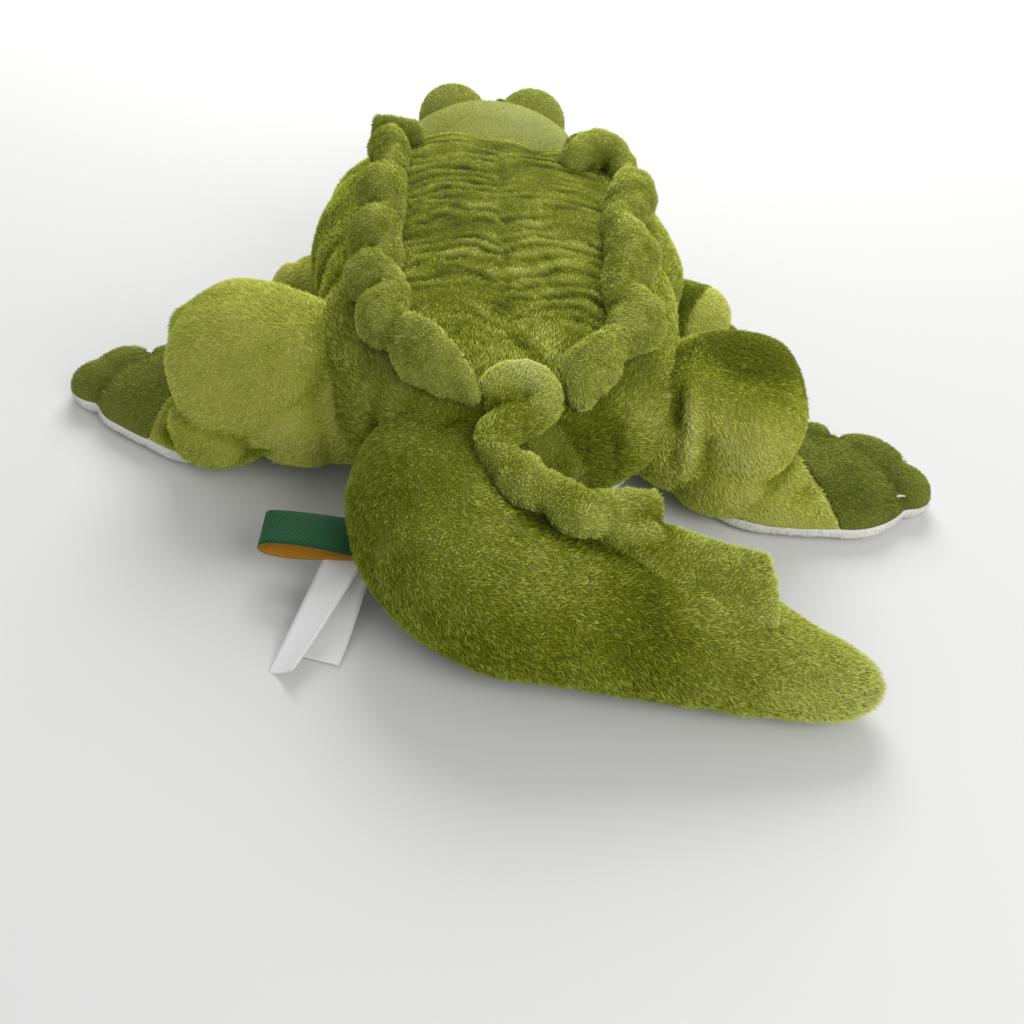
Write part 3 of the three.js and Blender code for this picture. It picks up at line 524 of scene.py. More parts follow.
def ball(centre, half_sizes, segments=32, rings=20, degrees=0):
    """An oval ball as a bmesh, turned about its upright axis."""
    bm = bmesh.new()
    bmesh.ops.create_uvsphere(bm, u_segments=segments, v_segments=rings, radius=1)
    bmesh.ops.scale(bm, vec=Vector(half_sizes) * MM, verts=bm.verts)
    bmesh.ops.rotate(bm, matrix=Matrix.Rotation(math.radians(degrees), 3, "Z"), verts=bm.verts)
    bmesh.ops.translate(bm, vec=Vector(centre) * MM, verts=bm.verts)
    return bm


def flap(foot, edge, thickness, rings=60, points=28, close=0.1):
    """A puffy flap as a bmesh: its foot runs along one line, and its free edge along another."""
    foot, edge = Line(foot), Line(edge)
    bm = bmesh.new()
    bmesh.ops.create_uvsphere(bm, u_segments=points, v_segments=rings, radius=1)
    ball_spots = np.array([vert.co for vert in bm.verts])
    share = (1 - np.clip(ball_spots[:, 2], -1, 1)) / 2
    angle = np.arctan2(ball_spots[:, 1], ball_spots[:, 0])
    from_end = np.clip(np.minimum(share, 1 - share) / close, 0, 1)
    closed = np.sqrt(1 - (1 - from_end) ** 2)
    low, high = foot.at(share), edge.at(share)
    rise = (high - low) / 2
    side = unit(np.cross(unit(foot.along(share) + edge.along(share)), rise))
    spots = (high + low) / 2 + rise * (np.sin(angle) * closed)[:, None]
    spots += side * (np.cos(angle) * closed * read_table(thickness)(share))[:, None]
    for vert, spot in zip(bm.verts, spots):
        vert.co = Vector(spot) * MM
    bmesh.ops.recalc_face_normals(bm, faces=bm.faces)
    return bm


def melt(name, forms, voxel, smoothing):
    """Joins closed forms into one skin, and smooths the corners between them."""
    whole = bmesh.new()
    for bm in forms:
        part = bpy.data.meshes.new("part")
        bm.to_mesh(part)
        whole.from_mesh(part)
        bm.free()
        bpy.data.meshes.remove(part)
    piece = piece_from(name, whole)
    remesh = piece.modifiers.new("melt", "REMESH")
    remesh.mode, remesh.voxel_size = "VOXEL", voxel * MM
    relax = piece.modifiers.new("relax", "SMOOTH")
    relax.iterations, relax.factor = smoothing, 0.5
    bpy.context.view_layer.update()
    melted = bpy.data.meshes.new_from_object(piece.evaluated_get(bpy.context.evaluated_depsgraph_get()))
    bpy.data.objects.remove(piece)
    return link(name, melted)


def form_mesh(form, rings=40, points=48):
    """A stuffed form as a bmesh."""
    skin = stuffed_skin("form", form, rings, points)
    bm = bmesh.new()
    bm.from_mesh(skin.data)
    bpy.data.objects.remove(skin)
    return bm


def dress(piece, nap, tint=None, pile=None):
    """Gives a melted skin what a stuffed one has: a nap, a tint and a length of pile."""
    count = len(piece.data.vertices)
    attribute(piece, "nap", unit(np.broadcast_to(nap, (count, 3))))
    attribute(piece, "tint", np.zeros(count) if tint is None else tint)
    attribute(piece, "pile", np.ones(count) if pile is None else pile)
    return piece


# %% [markdown]
# One stuffed form runs along each strip, and swells and narrows with the lobes. Flaps stand up across the
# front of both, and the left one ends at the tail in a flat leaf.

# %% The lobes of the back crests
# Each row: x and y on the toy, the height over the back, and half the width and the height there
crest_lobes = {
    "left": [
        (-68, 124, 5, 8, 11), (-68, 104, 9, 12, 15), (-65, 72, 6, 8, 10), (-70, 46, 9, 14.5, 15),
        (-64, 20, 6, 8, 10), (-71, -3, 9, 14.5, 15), (-63, -24, 6, 8.5, 10), (-71, -38, 9, 14, 14),
        (-58, -56, 6, 8, 10), (-63, -75, 9, 13.5, 13), (-50, -90, 5, 7, 8),
    ],
    "right": [
        (42, 94, 4, 7, 8), (56, 117, 8, 11, 12), (71, 125, 8, 12, 13), (79, 102, 5, 8.5, 10),
        (78, 62, 9, 14.5, 15), (65, 22, 6, 9, 10), (69, -11, 9, 15, 16), (59, -45, 6, 9, 10),
        (67, -65, 9, 15, 14), (51, -89, 6, 8.5, 10), (41, -106, 7, 13, 12), (35, -119, 5, 10, 10),
        (36, -124, 3, 7, 7),
    ],
}
# Each flap: the line of its foot, and the line of its free edge
leaf = (
    [(-52, -83, 110), (-42, -89, 113), (-31, -103, 112), (-21, -117, 106), (-14, -126, 97)],
    [(-60, -89, 98), (-53, -110, 94), (-41, -120, 93), (-28, -125, 92), (-14, -128, 90)],
)
left_front = (
    [(-79, 128, 93), (-64, 131, 97), (-46, 135, 99)], [(-80, 128, 121), (-64, 131, 119), (-49, 136, 114)],
)
right_front = (
    [(42, 136, 98), (58, 132, 96), (74, 124, 92)], [(44, 138, 112), (60, 134, 115), (76, 125, 110)],
)
crest_flaps = {"left": [leaf, left_front], "right": [right_front]}
flap_thickness = [(0, 6), (0.5, 7), (1, 4)]


def through(rows, height_at):
    """A stuffed form through rows of (x, y, height over what lies below, half width, half height)."""
    spine = [(x, y, height_at(x, y) + over) for x, y, over, *_ in rows]
    steps = np.concatenate(([0], np.cumsum(np.linalg.norm(np.diff(spine, axis=0), axis=1))))
    width = read_table([(step / steps[-1], row[3]) for step, row in zip(steps, rows)])
    height = read_table([(step / steps[-1], row[4]) for step, row in zip(steps, rows)])
    return StuffedForm(spine, width, height, height, 0.03, exponent=2.0)


# %% Melting the back crests
crests = {}
for side, hand in ((-1, "left"), (1, "right")):
    parts = [form_mesh(through(crest_lobes[hand], back_height), 140, 24)]
    for foot, edge in crest_flaps[hand]:
        parts.append(flap(foot, edge, flap_thickness))
    crest = melt(f"{hand}_crest_skin", parts, 1.6, 3)
    spots = places(crest)
    swell(crest, 1.5 * lumps(spots, 13, 5 + side) + 0.7 * lumps(spots, 6, 8 + side))
    # Painted light: a patch of painted sheen on the leaf, and painted shade in the hollows. The lumps are the
    # plush's uneven tone.
    leaf_sheen = patches(spots, [((-44, -104, 96), 22, 0.3)])
    tint = leaf_sheen + 0.05 * side + 0.3 - 0.4 * hollows(crest) + 0.3 * lumps(spots, 14, 2)
    dress(crest, np.array((side * 0.7, -0.5, -0.35)), tint)
    crests[f"{hand}_back_crest"] = crest
    print(f"{hand} crest: {len(crest_lobes[hand])} lobes, {len(crest.data.polygons)} faces")

# %% [markdown]
# ## The tail
#
# A thick sausage that leaves the rump, swings out to the animal's left and curls back round to its right,
# where it ends in a blunt tip. The model bends at the rump and half way along, so the skin is cut there. The
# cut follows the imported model's own curve, and the skin that shows hangs a little looser than that.

# %% The tail's two curves
tail_pivot = np.array((0, -111, 50.0))
tail_reach, tail_tip_height, tail_fall = 172, 17, 1.3
# Each step: how far to the right of the pivot and how far behind it, as shares of the reach
tail_route = [
    (0, 0), (-0.07, 0.06), (-0.145, 0.17), (-0.158, 0.3), (-0.1, 0.415), (0.014, 0.495), (0.17, 0.523),
    (0.37, 0.548), (0.56, 0.585), (0.77, 0.645), (1, 0.715),
]
loose_route = [
    (0, 0), (-0.085, 0.06), (-0.165, 0.16), (-0.175, 0.285), (-0.105, 0.4), (0.014, 0.477), (0.17, 0.512),
    (0.37, 0.55), (0.56, 0.6), (0.77, 0.667), (1, 0.725),
]
tail_sizes = [(0, 1), (0.25, 1), (0.5, 0.92), (0.68, 0.78), (0.8, 0.6), (0.92, 0.41), (1, 0.34)]
loose_sizes = [(0, 1), (0.25, 1), (0.5, 0.9), (0.68, 0.79), (0.8, 0.66), (0.92, 0.46), (1, 0.32)]


def tail_along(route, widths, round_share):
    """A form along a route, which comes down from the pivot to the tip's height."""
    _, start_y, start_z = tail_pivot
    spine = [
        (
            tail_reach * right, start_y - tail_reach * behind,
            start_z + (tail_tip_height - start_z) * (index / 10) ** tail_fall,
        )
        for index, (right, behind) in enumerate(route)
    ]
    height = sized(38, tail_sizes)
    return StuffedForm(spine, sized(44, widths), height, height, round_share)


tail_form = tail_along(tail_route, tail_sizes, 0.06)
loose_form = tail_along(loose_route, loose_sizes, 0.07)
tail_middle = tail_form.line.at(0.5)
tail_heading = tail_form.line.along(0.5)
tail_heading = unit(np.array((tail_heading[0], tail_heading[1], 0)))
print(f"tail: {tail_form.line.length:.0f} mm long")

# %% The tail's skin
tail = melt("tail", [form_mesh(loose_form, 120, 80), ball(tail_pivot, (48, 47, 41), 48, 32)], 2.0, 5)
spots = places(tail)
swell(tail, 1.5 * lumps(spots, 42, 11) + 0.7 * lumps(spots, 16, 12))
spots = places(tail)
root_folds = [
    [(-38, -108, 78), (-50, -124, 64), (-56, -146, 46)], [(-30, -114, 84), (-42, -132, 72), (-50, -156, 54)],
    [(-8, -128, 91), (-22, -130, 88), (-36, -140, 78)], [(-10, -152, 82), (2, -182, 74), (24, -194, 68)],
]
swell(tail, sum(crease(spots, line, 3.2, 1.6) for line in root_folds))
spots = places(tail)
press_flat(tail, spots)
share = shares_on(loose_form, spots)
# Painted light on the tail: patches of painted sheen and shade, darker low down where it is shaded near the
# floor; below, a painted shadow under the crest's band, painted sheen towards the end, and painted shade in
# the hollows.
painted_sheen_and_shade = patches(spots, [
    ((-10, -190, 78), 30, 0.25), ((60, -224, 58), 24, -0.55), ((86, -212, 56), 18, 0.5),
    ((20, -206, 72), 22, 0.3), ((-64, -170, 40), 30, -0.35), ((-10, -236, 30), 34, -0.45),
    ((60, -246, 24), 30, -0.25), ((110, -236, 34), 24, -0.2),
])
band_shadow = [(-12, -160, 74), (4, -182, 72), (24, -194, 67), (52, -200, 60), (72, -204, 54)]
under_band = 1.3 * crease(spots, band_shadow, 6, 1.3)
tint = 0.75 * smoothstep(share, 0.6, 1) + painted_sheen_and_shade + under_band - 0.5 * hollows(tail)
dress(tail, loose_form.line.along(share), tint, 1 + 0.9 * smoothstep(share, 0.93, 1))
tail_root_skin = cut_skin(tail, "tail_root_skin", tail_middle, -tail_heading, True)
tail_end_skin = cut_skin(tail, "tail_end_skin", tail_middle, tail_heading, True)
bpy.data.objects.remove(tail)

# %% [markdown]
# The plane of that cut also runs through the tail's round root, deep in the rump, and leaves a crumb of it
# on the far side. The crumb would swing with the tail's end, so it is deleted.

# %% The crumb
rump_line = -150
bm = bmesh.new()
bm.from_mesh(tail_end_skin.data)
crumb = [vert for vert in bm.verts if vert.co.y > rump_line * MM]
bmesh.ops.delete(bm, geom=crumb, context="VERTS")
bm.to_mesh(tail_end_skin.data)
bm.free()
print(f"tail: {len(crumb)} points of the crumb deleted")

# %% [markdown]
# One more ruffle runs along the tail. It starts as a hook between the ends of the two back crests, doubles
# back once, and goes on as a band that stands up and leans to the far side. It ends in a flat fin, whose
# free edge stands off the tail. Puffs fill the corners between them.

# %% The tail's crest
hook_line = [
    (-9, -126, 90), (-6, -120, 95), (3, -117, 98), (12, -119, 97), (17, -126, 93), (14, -131, 91),
    (8, -135, 89), (0, -138, 88), (-6, -146, 86), (-5, -157, 83), (6, -168, 79),
]
hook_widths = [(0, 0.9), (0.3, 1.1), (0.48, 0.78), (0.7, 1.25), (0.85, 1.0), (1, 1.3)]
hook = StuffedForm(hook_line, sized(8.4, hook_widths), even(9.5), even(10.0), 0.06)
band_foot = [(-4, -160, 76), (6, -176, 74), (20, -185, 71), (36, -190, 67), (52, -192, 63), (66, -194, 60)]
band_edge = [(4, -160, 94), (14, -170, 91), (26, -176, 87), (40, -176, 83), (56, -174, 82), (72, -170, 77)]
fin_foot = [(38, -197, 60), (62, -209, 55), (84, -217, 49), (102, -222, 47), (121, -225, 47)]
fin_edge = [(54, -180, 70), (74, -184, 69), (92, -191, 68), (106, -195, 67), (117, -199, 66)]
# Each puff: its centre, its half sizes, and how far it is turned
puffs = [
    ((0, -129, 91), (13, 6, 8), -10), ((6, -172, 80), (14, 10, 11), -34),
    ((30, -186, 74), (15, 9, 11), -18), ((54, -190, 67), (16, 8, 10), -8),
]
tail_crest = melt("tail_crest", [
    form_mesh(hook, 70, 24),
    flap(band_foot, band_edge, [(0, 9), (0.35, 7.5), (0.6, 9), (0.85, 7), (1, 5)], close=0.12),
    flap(fin_foot, fin_edge, [(0, 5), (0.5, 6.5), (1, 5.5)], close=0.03),
    *(ball(centre, half_sizes, degrees=degrees) for centre, half_sizes, degrees in puffs),
], 1.6, 2)
spots = places(tail_crest)
swell(tail_crest, 1.0 * lumps(spots, 12, 7) + 0.5 * lumps(spots, 5, 9))
spots = places(tail_crest)
ends = patches(spots, [((74, -170, 78), 9, 0.9), ((118, -205, 58), 10, 0.6), ((117, -198, 66), 8, 0.6)])
# Painted highlights where the hook's arch and the band's folds catch the light, and with a minus painted
# shade in the rolls under the arch and between the folds.
glints = patches(spots, [
    ((8, -117, 98), 14, 2.2), ((2, -131, 90), 9, -1.4), ((-4, -146, 88), 12, -0.5),
    ((16, -180, 76), 9, 0.6), ((44, -190, 70), 12, 0.7), ((24, -180, 82), 8, -0.6),
    ((66, -182, 76), 9, -0.5), ((100, -210, 56), 30, 0.25),
])
face_folds = [
    [(16, -166, 92), (12, -174, 84), (14, -184, 74)], [(38, -174, 86), (30, -184, 78), (30, -192, 68)],
    [(60, -174, 80), (50, -186, 72), (52, -194, 64)],
]
swell(tail_crest, sum(crease(spots, line, 3.4, 3) for line in face_folds))
# The tint adds painted shade in the hollows.
dress(tail_crest, np.array((0.75, 0.35, 0.1)), 0.15 + glints - 0.4 * hollows(tail_crest), 1.1 + ends)
tail_root_crest_skin = cut_skin(tail_crest, "tail_root_crest_skin", tail_middle, -tail_heading, True)
tail_end_crest_skin = cut_skin(tail_crest, "tail_end_crest_skin", tail_middle, tail_heading, True)
bpy.data.objects.remove(tail_crest)
print(f"tail's crest: {len(spots)} vertices")

# %% [markdown]
# ## The legs
#
# Each leg is a stuffed bag for the thigh that runs down into an ankle, and a darker foot with a pale sole.
# The thigh, its root and the ankle are melted into one skin, the bag. The foot and its toes are melted into
# another, the pad. Both are cut where the sewn seams run.

# %% The legs' sizes
# along is the hip's share of the torso's length, and seat is how deep the root sits in the torso. root and
# root_high are the root's half sizes, and wide, rise and drop are the thigh's. thigh, seam, heel and reach
# are how far out from the hip each of them ends or lies, and the names with ahead say how far ahead. slant
# turns the ankle's seam forward and up. Each toe is how far out and ahead it lies, and its radius.
leg_exponent = 2.4
hind = dict(
    along=0.27, seat=13, pivot_height=42, root=38, root_high=34, wide=45, drop=31, reach=160, foot_wide=39,
    foot_rise=25, sole=10, heel_wide=28, foot_tint=0.3,
)
fore = dict(
    along=0.72, seat=25, pivot_height=31, root=29, root_high=24, wide=28, drop=20, reach=84, foot_wide=24,
    foot_rise=13, sole=8, heel_wide=14, foot_tint=0.3, heel=30, slant=(0, 0.25),
)
leg_sizes = {
    "left_hind": dict(
        hind, foot_tint=0.8, swing=14, thigh=97, rise=41, lift=8, seam=108, slant=(0.1, 0.3),
        heel=50, heel_ahead=-16, middle_ahead=8, tip_ahead=20,
        girth=[(0, 0.86), (0.3, 0.95), (0.62, 1.02), (0.88, 1.0), (1, 0.92)], blunt=0.34,
        toes=[(122, 32, 22), (144, 22, 22), (154, 8, 18)],
    ),
    "right_hind": dict(
        hind, swing=-8, thigh=87, rise=39, lift=5, seam=95, slant=(0.5, 0.35),
        heel=30, heel_ahead=-18, middle_ahead=-8, tip_ahead=0,
        girth=[(0, 0.95), (0.25, 0.97), (0.6, 1.02), (0.88, 1.0), (1, 0.9)], blunt=0.4,
        toes=[(104, 28, 16), (134, 16, 26), (152, -2, 18)],
    ),
    "left_fore": dict(
        fore, swing=-10, shoulder=30, thigh=48, rise=17, lift=-7, seam=62,
        heel_ahead=-2, middle_ahead=4, tip_ahead=4, girth=[(0, 0.8), (0.5, 1), (1, 0.9)], blunt=0.34,
        toes=[(56, 22, 10), (72, 14, 10), (79, -2, 9)],
    ),
    "right_fore": dict(
        fore, swing=-26, shoulder=54, thigh=75, rise=20, lift=-6, seam=68,
        heel_ahead=2, middle_ahead=10, tip_ahead=12, girth=[(0, 0.8), (0.5, 1), (1, 0.95)], blunt=0.3,
        toes=[(56, 26, 10), (72, 20, 10), (78, 6, 9)],
    ),
}

# %% [markdown]
# A few folds and patches are particular to each leg: the deep folds at the crotch, the seam that makes a
# corner on the left thigh, and the painted sheen and shade of the nap, painted shade on top of the right
# thigh and painted sheen below it. They are told as a place out from the hip, ahead of it, and above the
# floor.

# %% The legs' folds and patches
# Each fold: the places that it runs through, its width and its depth, where a minus makes it a ridge
leg_folds = {
    "left_hind": [
        ([(94, 24, 62), (99, 4, 50), (98, -20, 34)], 8, -5),
        ([(20, -38, 40), (36, -42, 24), (52, -38, 12)], 5, 4),
        ([(14, -30, 24), (22, -40, 16), (34, -44, 8)], 4, 3.5),
        ([(60, -44, 26), (84, -38, 20), (104, -30, 16)], 6, 3),
    ],
    "right_hind": [
        ([(12, -20, 78), (13, -44, 60), (14, -50, 36)], 5, 5),
        ([(27, -28, 72), (31, -46, 52), (34, -50, 30)], 5, 4),
        ([(20, -24, 78), (21, -46, 58), (23, -51, 36)], 4.5, -4),
        ([(78, -44, 26), (92, -34, 28), (99, -10, 38)], 6, 4),
    ],
    "left_fore": [([(10, -22, 34), (22, -26, 24), (30, -24, 12)], 4, 2)],
    "right_fore": [([(10, -22, 34), (22, -26, 24), (30, -24, 12)], 4, 2)],
}
# Each patch of painted sheen (painted shade with a minus): its centre, its radius, and how much lighter it is
leg_patches = {
    "left_hind": [
        ((52, -6, 84), 38, 0.2), ((30, -36, 46), 24, 0.45), ((70, -30, 50), 30, 0.6),
        ((86, -36, 22), 22, -0.6), ((96, 0, 50), 24, -0.25), ((60, -44, 14), 22, -0.2),
    ],
    "right_hind": [
        ((60, 8, 84), 36, -2.4), ((30, 8, 84), 26, -1.0), ((22, -46, 56), 13, 1.2),
        ((46, -46, 54), 18, 0.9), ((70, -36, 40), 30, 0.6), ((64, -48, 18), 28, 0.3),
        ((96, -36, 14), 24, 0.1), ((13, -50, 46), 8, -0.6), ((33, -50, 44), 8, -0.5),
    ],
    "left_fore": [((30, 0, 40), 40, 0.6)],
    "right_fore": [((40, 0, 40), 50, 0.9)],
}
toe_creases = {
    "left_hind": [[(130, 28, 22), (138, 38, 18), (142, 50, 10)]],
    "right_hind": [
        [(108, 20, 24), (114, 32, 20), (116, 46, 10)], [(112, -14, 28), (125, -7, 27), (138, 0, 25)],
    ],
    "left_fore": [[(58, 8, 16), (64, 14, 15), (68, 22, 10)]],
    "right_fore": [[(58, 12, 16), (64, 18, 15), (68, 26, 10)]],
}

# %% The hip


class Hip:
    """Where a leg leaves the torso and which way it points. It turns places on the leg into the toy's."""

    def __init__(self, side, size):
        swing = math.radians(size["swing"])
        self.outward = np.array((side * math.cos(swing), math.sin(swing), 0))
        self.forward = np.array((-side * self.outward[1], side * self.outward[0], 0))
        torso_half = float(torso_form.half_width(size["along"]))
        y = torso_rear + (torso_front - torso_rear) * size["along"]
        self.spot = np.array((side * (torso_half - size["seat"]), y, 0))

    def place(self, out, ahead, height):
        spot = self.spot + self.outward * out + self.forward * ahead
        return np.array((spot[0], spot[1], height))

    def chain(self, rows):
        return [self.place(*row) for row in rows]


# %% [markdown]
# The bag is five forms: the thigh, the ball that turns in the torso, a ball that fills the crotch, the ankle,
# which is the foot's own form up to the seam, and a bridge from the ankle to the thigh.

# %% The forms of a leg


def thigh_form(size, hip):
    """The thigh runs straight out from the hip and arches a little."""
    spine = [
        hip.place(size["thigh"] * s, 0, size["pivot_height"] + size["lift"] * math.sin(math.pi * s))
        for s in (0, 0.5, 1)
    ]
    wide, rise, drop = (sized(size[key], size["girth"]) for key in ("wide", "rise", "drop"))
    return StuffedForm(spine, wide, rise, drop, size["blunt"], leg_exponent)


def foot_form(size, hip):
    """The foot lies along the floor from its heel to its toes."""
    middle = size["sole"] - 5
    spine = [
        hip.place(size["heel"], size["heel_ahead"], middle),
        hip.place((size["heel"] + size["reach"]) / 2, size["middle_ahead"], middle),
        hip.place(size["reach"], size["tip_ahead"], middle),
    ]
    wide = sized(size["foot_wide"], [(0, 0.82), (0.35, 0.97), (0.65, 0.98), (1, 0.68)])
    rise = sized(size["foot_rise"], [(0, 1), (0.4, 0.95), (0.75, 0.75), (1, 0.55)])
    return StuffedForm(spine, wide, rise, even(middle + 0.5), 0.3, leg_exponent)


def bag_and_pad(name, size, hip, seam_point, slant):
    """The two melted skins of a leg, still without folds."""
    foot, root, high = foot_form(size, hip), size["root"], size["root_high"]
    toes = [
        ball(hip.place(out, ahead, 8), (radius, radius, 14 if radius > 12 else 9))
        for out, ahead, radius in size["toes"]
    ]
    round_root = ball(hip.place(0, 0, size["pivot_height"]), (root, root, high))
    crotch = ball(hip.place(24, -14, size["pivot_height"] - 4), (root * 0.9, root * 0.85, high * 0.9))
    ankle = cut_form(form_mesh(foot), seam_point, slant, False)
    bridge = ball(hip.place(size["heel"] + 16, size["heel_ahead"] - 8, 22), (size["heel_wide"], 24, 24))
    thigh = form_mesh(thigh_form(size, hip))
    bag = melt(f"{name}_bag", [thigh, round_root, crotch, ankle, bridge], 2.0, 4)
    return bag, melt(f"{name}_pad", [form_mesh(foot), *toes], 1.6, 12)


# %% [markdown]
# Lumps and folds come after the melting, which would wipe them out. Then each skin gets its tint, with
# painted sheen and shade in patches on the bag and painted shade in the hollows and the toes' creases, and
# the pad is cut flat into a sole and a top.

# %% Folding, dressing and cutting a leg
shoulder_tint = -1.0


def crumple(part, seed, folds):
    """Gives a skin its lumps and its folds, and returns its places."""
    spots = places(part)
    swell(part, 1.3 * lumps(spots, 34, seed) + 0.6 * lumps(spots, 14, seed + 1))
    spots = places(part)
    swell(part, sum(crease(spots, line, width, depth) for line, width, depth in folds))
    return places(part)


def dress_leg(part, size, hip, spots, tint, crease_shade=0):
    """The nap hangs outwards and down, the pile is short near the floor, and a shoulder is dark. Hollows and
    creases get painted shade.
    """
    out = (spots - hip.spot) @ hip.outward
    tint = np.where(out < size.get("shoulder", -math.inf), shoulder_tint, tint)
    pile = 0.4 + 0.6 * smoothstep(spots[:, 2], size["sole"], size["sole"] + 8)
    nap = hip.outward * 0.8 + np.array((0, 0, -0.7)) - hip.forward * 0.25
    dress(part, nap, tint + crease_shade - 0.5 * hollows(part), pile)


def cut_leg(name, bag, pad, size, seam_point, slant):
    """The leg's three skins: the sole, the foot's top beyond the seam, and the bag above the sole."""
    sole = cut_skin(pad, f"{name}_sole_skin", (0, 0, size["sole"] - 0.2), upright, False)
    upper = cut_skin(pad, f"{name}_upper", (0, 0, size["sole"]), upright, True)
    foot = cut_skin(upper, f"{name}_foot_skin", seam_point, slant, True)
    for key in ("tint", "pile"):
        attribute(sole, key, np.ones(len(sole.data.vertices)))
    leg = cut_skin(bag, f"{name}_leg_skin", (0, 0, size["sole"]), upright, True)
    for part in (bag, pad, upper):
        bpy.data.objects.remove(part)
    return dict(leg=leg, foot=foot, sole=sole)


# %% Making the four legs
thigh_corner, corner_radius, corner_pull = (97, 18, 58), 15, (9, 3)
legs = {}
for name, size in leg_sizes.items():
    hip = Hip(-1 if name.startswith("left") else 1, size)
    seam_point = hip.place(size["seam"], 0, 0)
    turn_in, turn_up = size["slant"]
    slant = hip.outward + hip.forward * turn_in + np.array((0, 0, turn_up))
    bag, pad = bag_and_pad(name, size, hip, seam_point, slant)

    spots = crumple(bag, 21, [(hip.chain(rows), width, depth) for rows, width, depth in leg_folds[name]])
    if name == "left_hind":
        near = np.exp(-np.sum((spots - hip.place(*thigh_corner)) ** 2, axis=1) / corner_radius**2)
        spots += near[:, None] * (hip.outward * corner_pull[0] + np.array((0, 0, corner_pull[1])))
    press_flat(bag, spots)
    painted_sheen_and_shade = [(hip.place(*centre), radius, amount) for centre, radius, amount in leg_patches[name]]
    dress_leg(bag, size, hip, spots, patches(spots, painted_sheen_and_shade) + 0.35)

    toe_lines = [hip.chain(rows) for rows in toe_creases[name]]
    spots = crumple(pad, 24, [(line, 2.4, 1.8) for line in toe_lines])
    press_flat(pad, spots)
    # Painted shade along the toe creases.
    crease_shade = 1.5 * sum(crease(spots, line, 2.2, 1) for line in toe_lines)
    dress_leg(pad, size, hip, spots, size["foot_tint"] + 0.3 * lumps(spots, 20, 30), crease_shade)

    legs[name] = dict(cut_leg(name, bag, pad, size, seam_point, slant), hip=hip, size=size)
    faces = [len(legs[name][key].data.polygons) for key in ("leg", "foot", "sole")]
    print(f"{name} leg: {faces[0]} faces, foot {faces[1]}, sole {faces[2]}")

# %% [markdown]
# ## The head
#
# Seen from behind, little more than the crown and two eye mounds show. The rest is the plain head of a toy
# crocodile: a long flat snout, felt teeth and lining, a padded lower jaw and glossy eyes.

# %% The head's form
neck_y, head_back, head_reach = 160, 30, 192
head_length = head_reach + head_back
neck_height, snout_fall = 52, 24
head_spine = [
    (0, neck_y - head_back + head_length * s, neck_height - snout_fall * float(smoothstep(s, 0.25, 0.7)))
    for s in (0, 0.2, 0.4, 0.6, 0.8, 1)
]
head_widths = [
    (0, 0.72), (0.15, 0.84), (0.28, 0.95), (0.42, 1), (0.54, 0.9), (0.66, 0.66), (0.8, 0.56), (0.92, 0.6),
    (1, 0.54),
]
head_rises = [
    (0, 0.78), (0.15, 0.94), (0.27, 1.1), (0.36, 1.1), (0.44, 0.98), (0.55, 0.82), (0.66, 0.56), (0.8, 0.46),
    (0.92, 0.48), (1, 0.42),
]
head_drops = [(0, 0.74), (0.15, 0.86), (0.3, 0.96), (0.44, 0.9), (0.56, 0.66), (0.7, 0.5), (1, 0.44)]
head_form = StuffedForm(
    head_spine, sized(65, head_widths), sized(46, head_rises), sized(40, head_drops), 0.12,
)

# %% [markdown]
# The snout is flat below, where the upper lining of the mouth is sewn on, and the crown is paler.

# %% The head's skin
mouth_height, mouth_back = 28, neck_y - head_back + head_length * 0.46
head_skin = stuffed_skin("head_skin", head_form, 150, 140)
spots = places(head_skin)
swell(head_skin, 1.0 * lumps(spots, 40, 31) + 0.4 * lumps(spots, 15, 32))
spots = places(head_skin)
over, under = spots[:, 2], mouth_height - spots[:, 2]
mouth = smoothstep(spots[:, 1], mouth_back - 6, mouth_back + 6) * (over < mouth_height + 3)
spots[:, 2] = np.where(over < mouth_height, over + under * mouth, over)
press_flat(head_skin, spots)
attribute(head_skin, "pile", np.full(len(spots), 0.6))
# The crown is paler, with painted sheen on its right side, painted shade on its left and in the hollows, and
# lumps of uneven tone.
crown = patches(spots, [((24, 196, 96), 30, 0.5), ((-30, 190, 96), 26, -0.5)]) + 0.3 * lumps(spots, 14, 33)
attribute(head_skin, "tint", 1.45 + crown - 0.3 * hollows(head_skin))
attribute(head_skin, "nap", -attribute(head_skin, "nap"))

# %% [markdown]
# The lower jaw is a thin padded tongue of its own, with a flat top for the lower lining.

# %% The lower jaw
jaw_hinge_height, jaw_flat_height = 17.5, 23.4
jaw_form = StuffedForm(
    [(0, mouth_back - 9, jaw_hinge_height), (0, mouth_back + 108, jaw_hinge_height)],
    sized(31, [(0, 0.94), (0.3, 0.95), (0.6, 0.88), (0.88, 0.86), (1, 0.74)]), even(9.0), even(12.0), 0.12,
)
jaw_skin = stuffed_skin("jaw_skin", jaw_form, 80, 90)
spots = places(jaw_skin)
spots[:, 2] = np.minimum(spots[:, 2], jaw_flat_height)
put(jaw_skin, spots)

# %% [markdown]
# The eyes sit in two stuffed mounds. Each is an oval ball that stops at the middle of the head, so the two
# never cut into each other.

# %% Mounds for the eyes
mound_half = (24, 26, 23)
half_gap = 0.3


def mound_centre(side):
    return np.array((side * 28, neck_y + 74, 77))


mounds = {}
for hand, side in (("left", -1), ("right", 1)):
    mound = mounds[hand] = piece_from(f"{hand}_mound_skin", ball(mound_centre(side), mound_half, 60, 40))
    spots = places(mound)
    spots[:, 0] = side * np.maximum(side * spots[:, 0], half_gap)
    put(mound, spots)
    dress(mound, np.array((side * 0.2, -0.6, -0.6)), np.full(len(spots), 1.0), np.full(len(spots), 1.3))

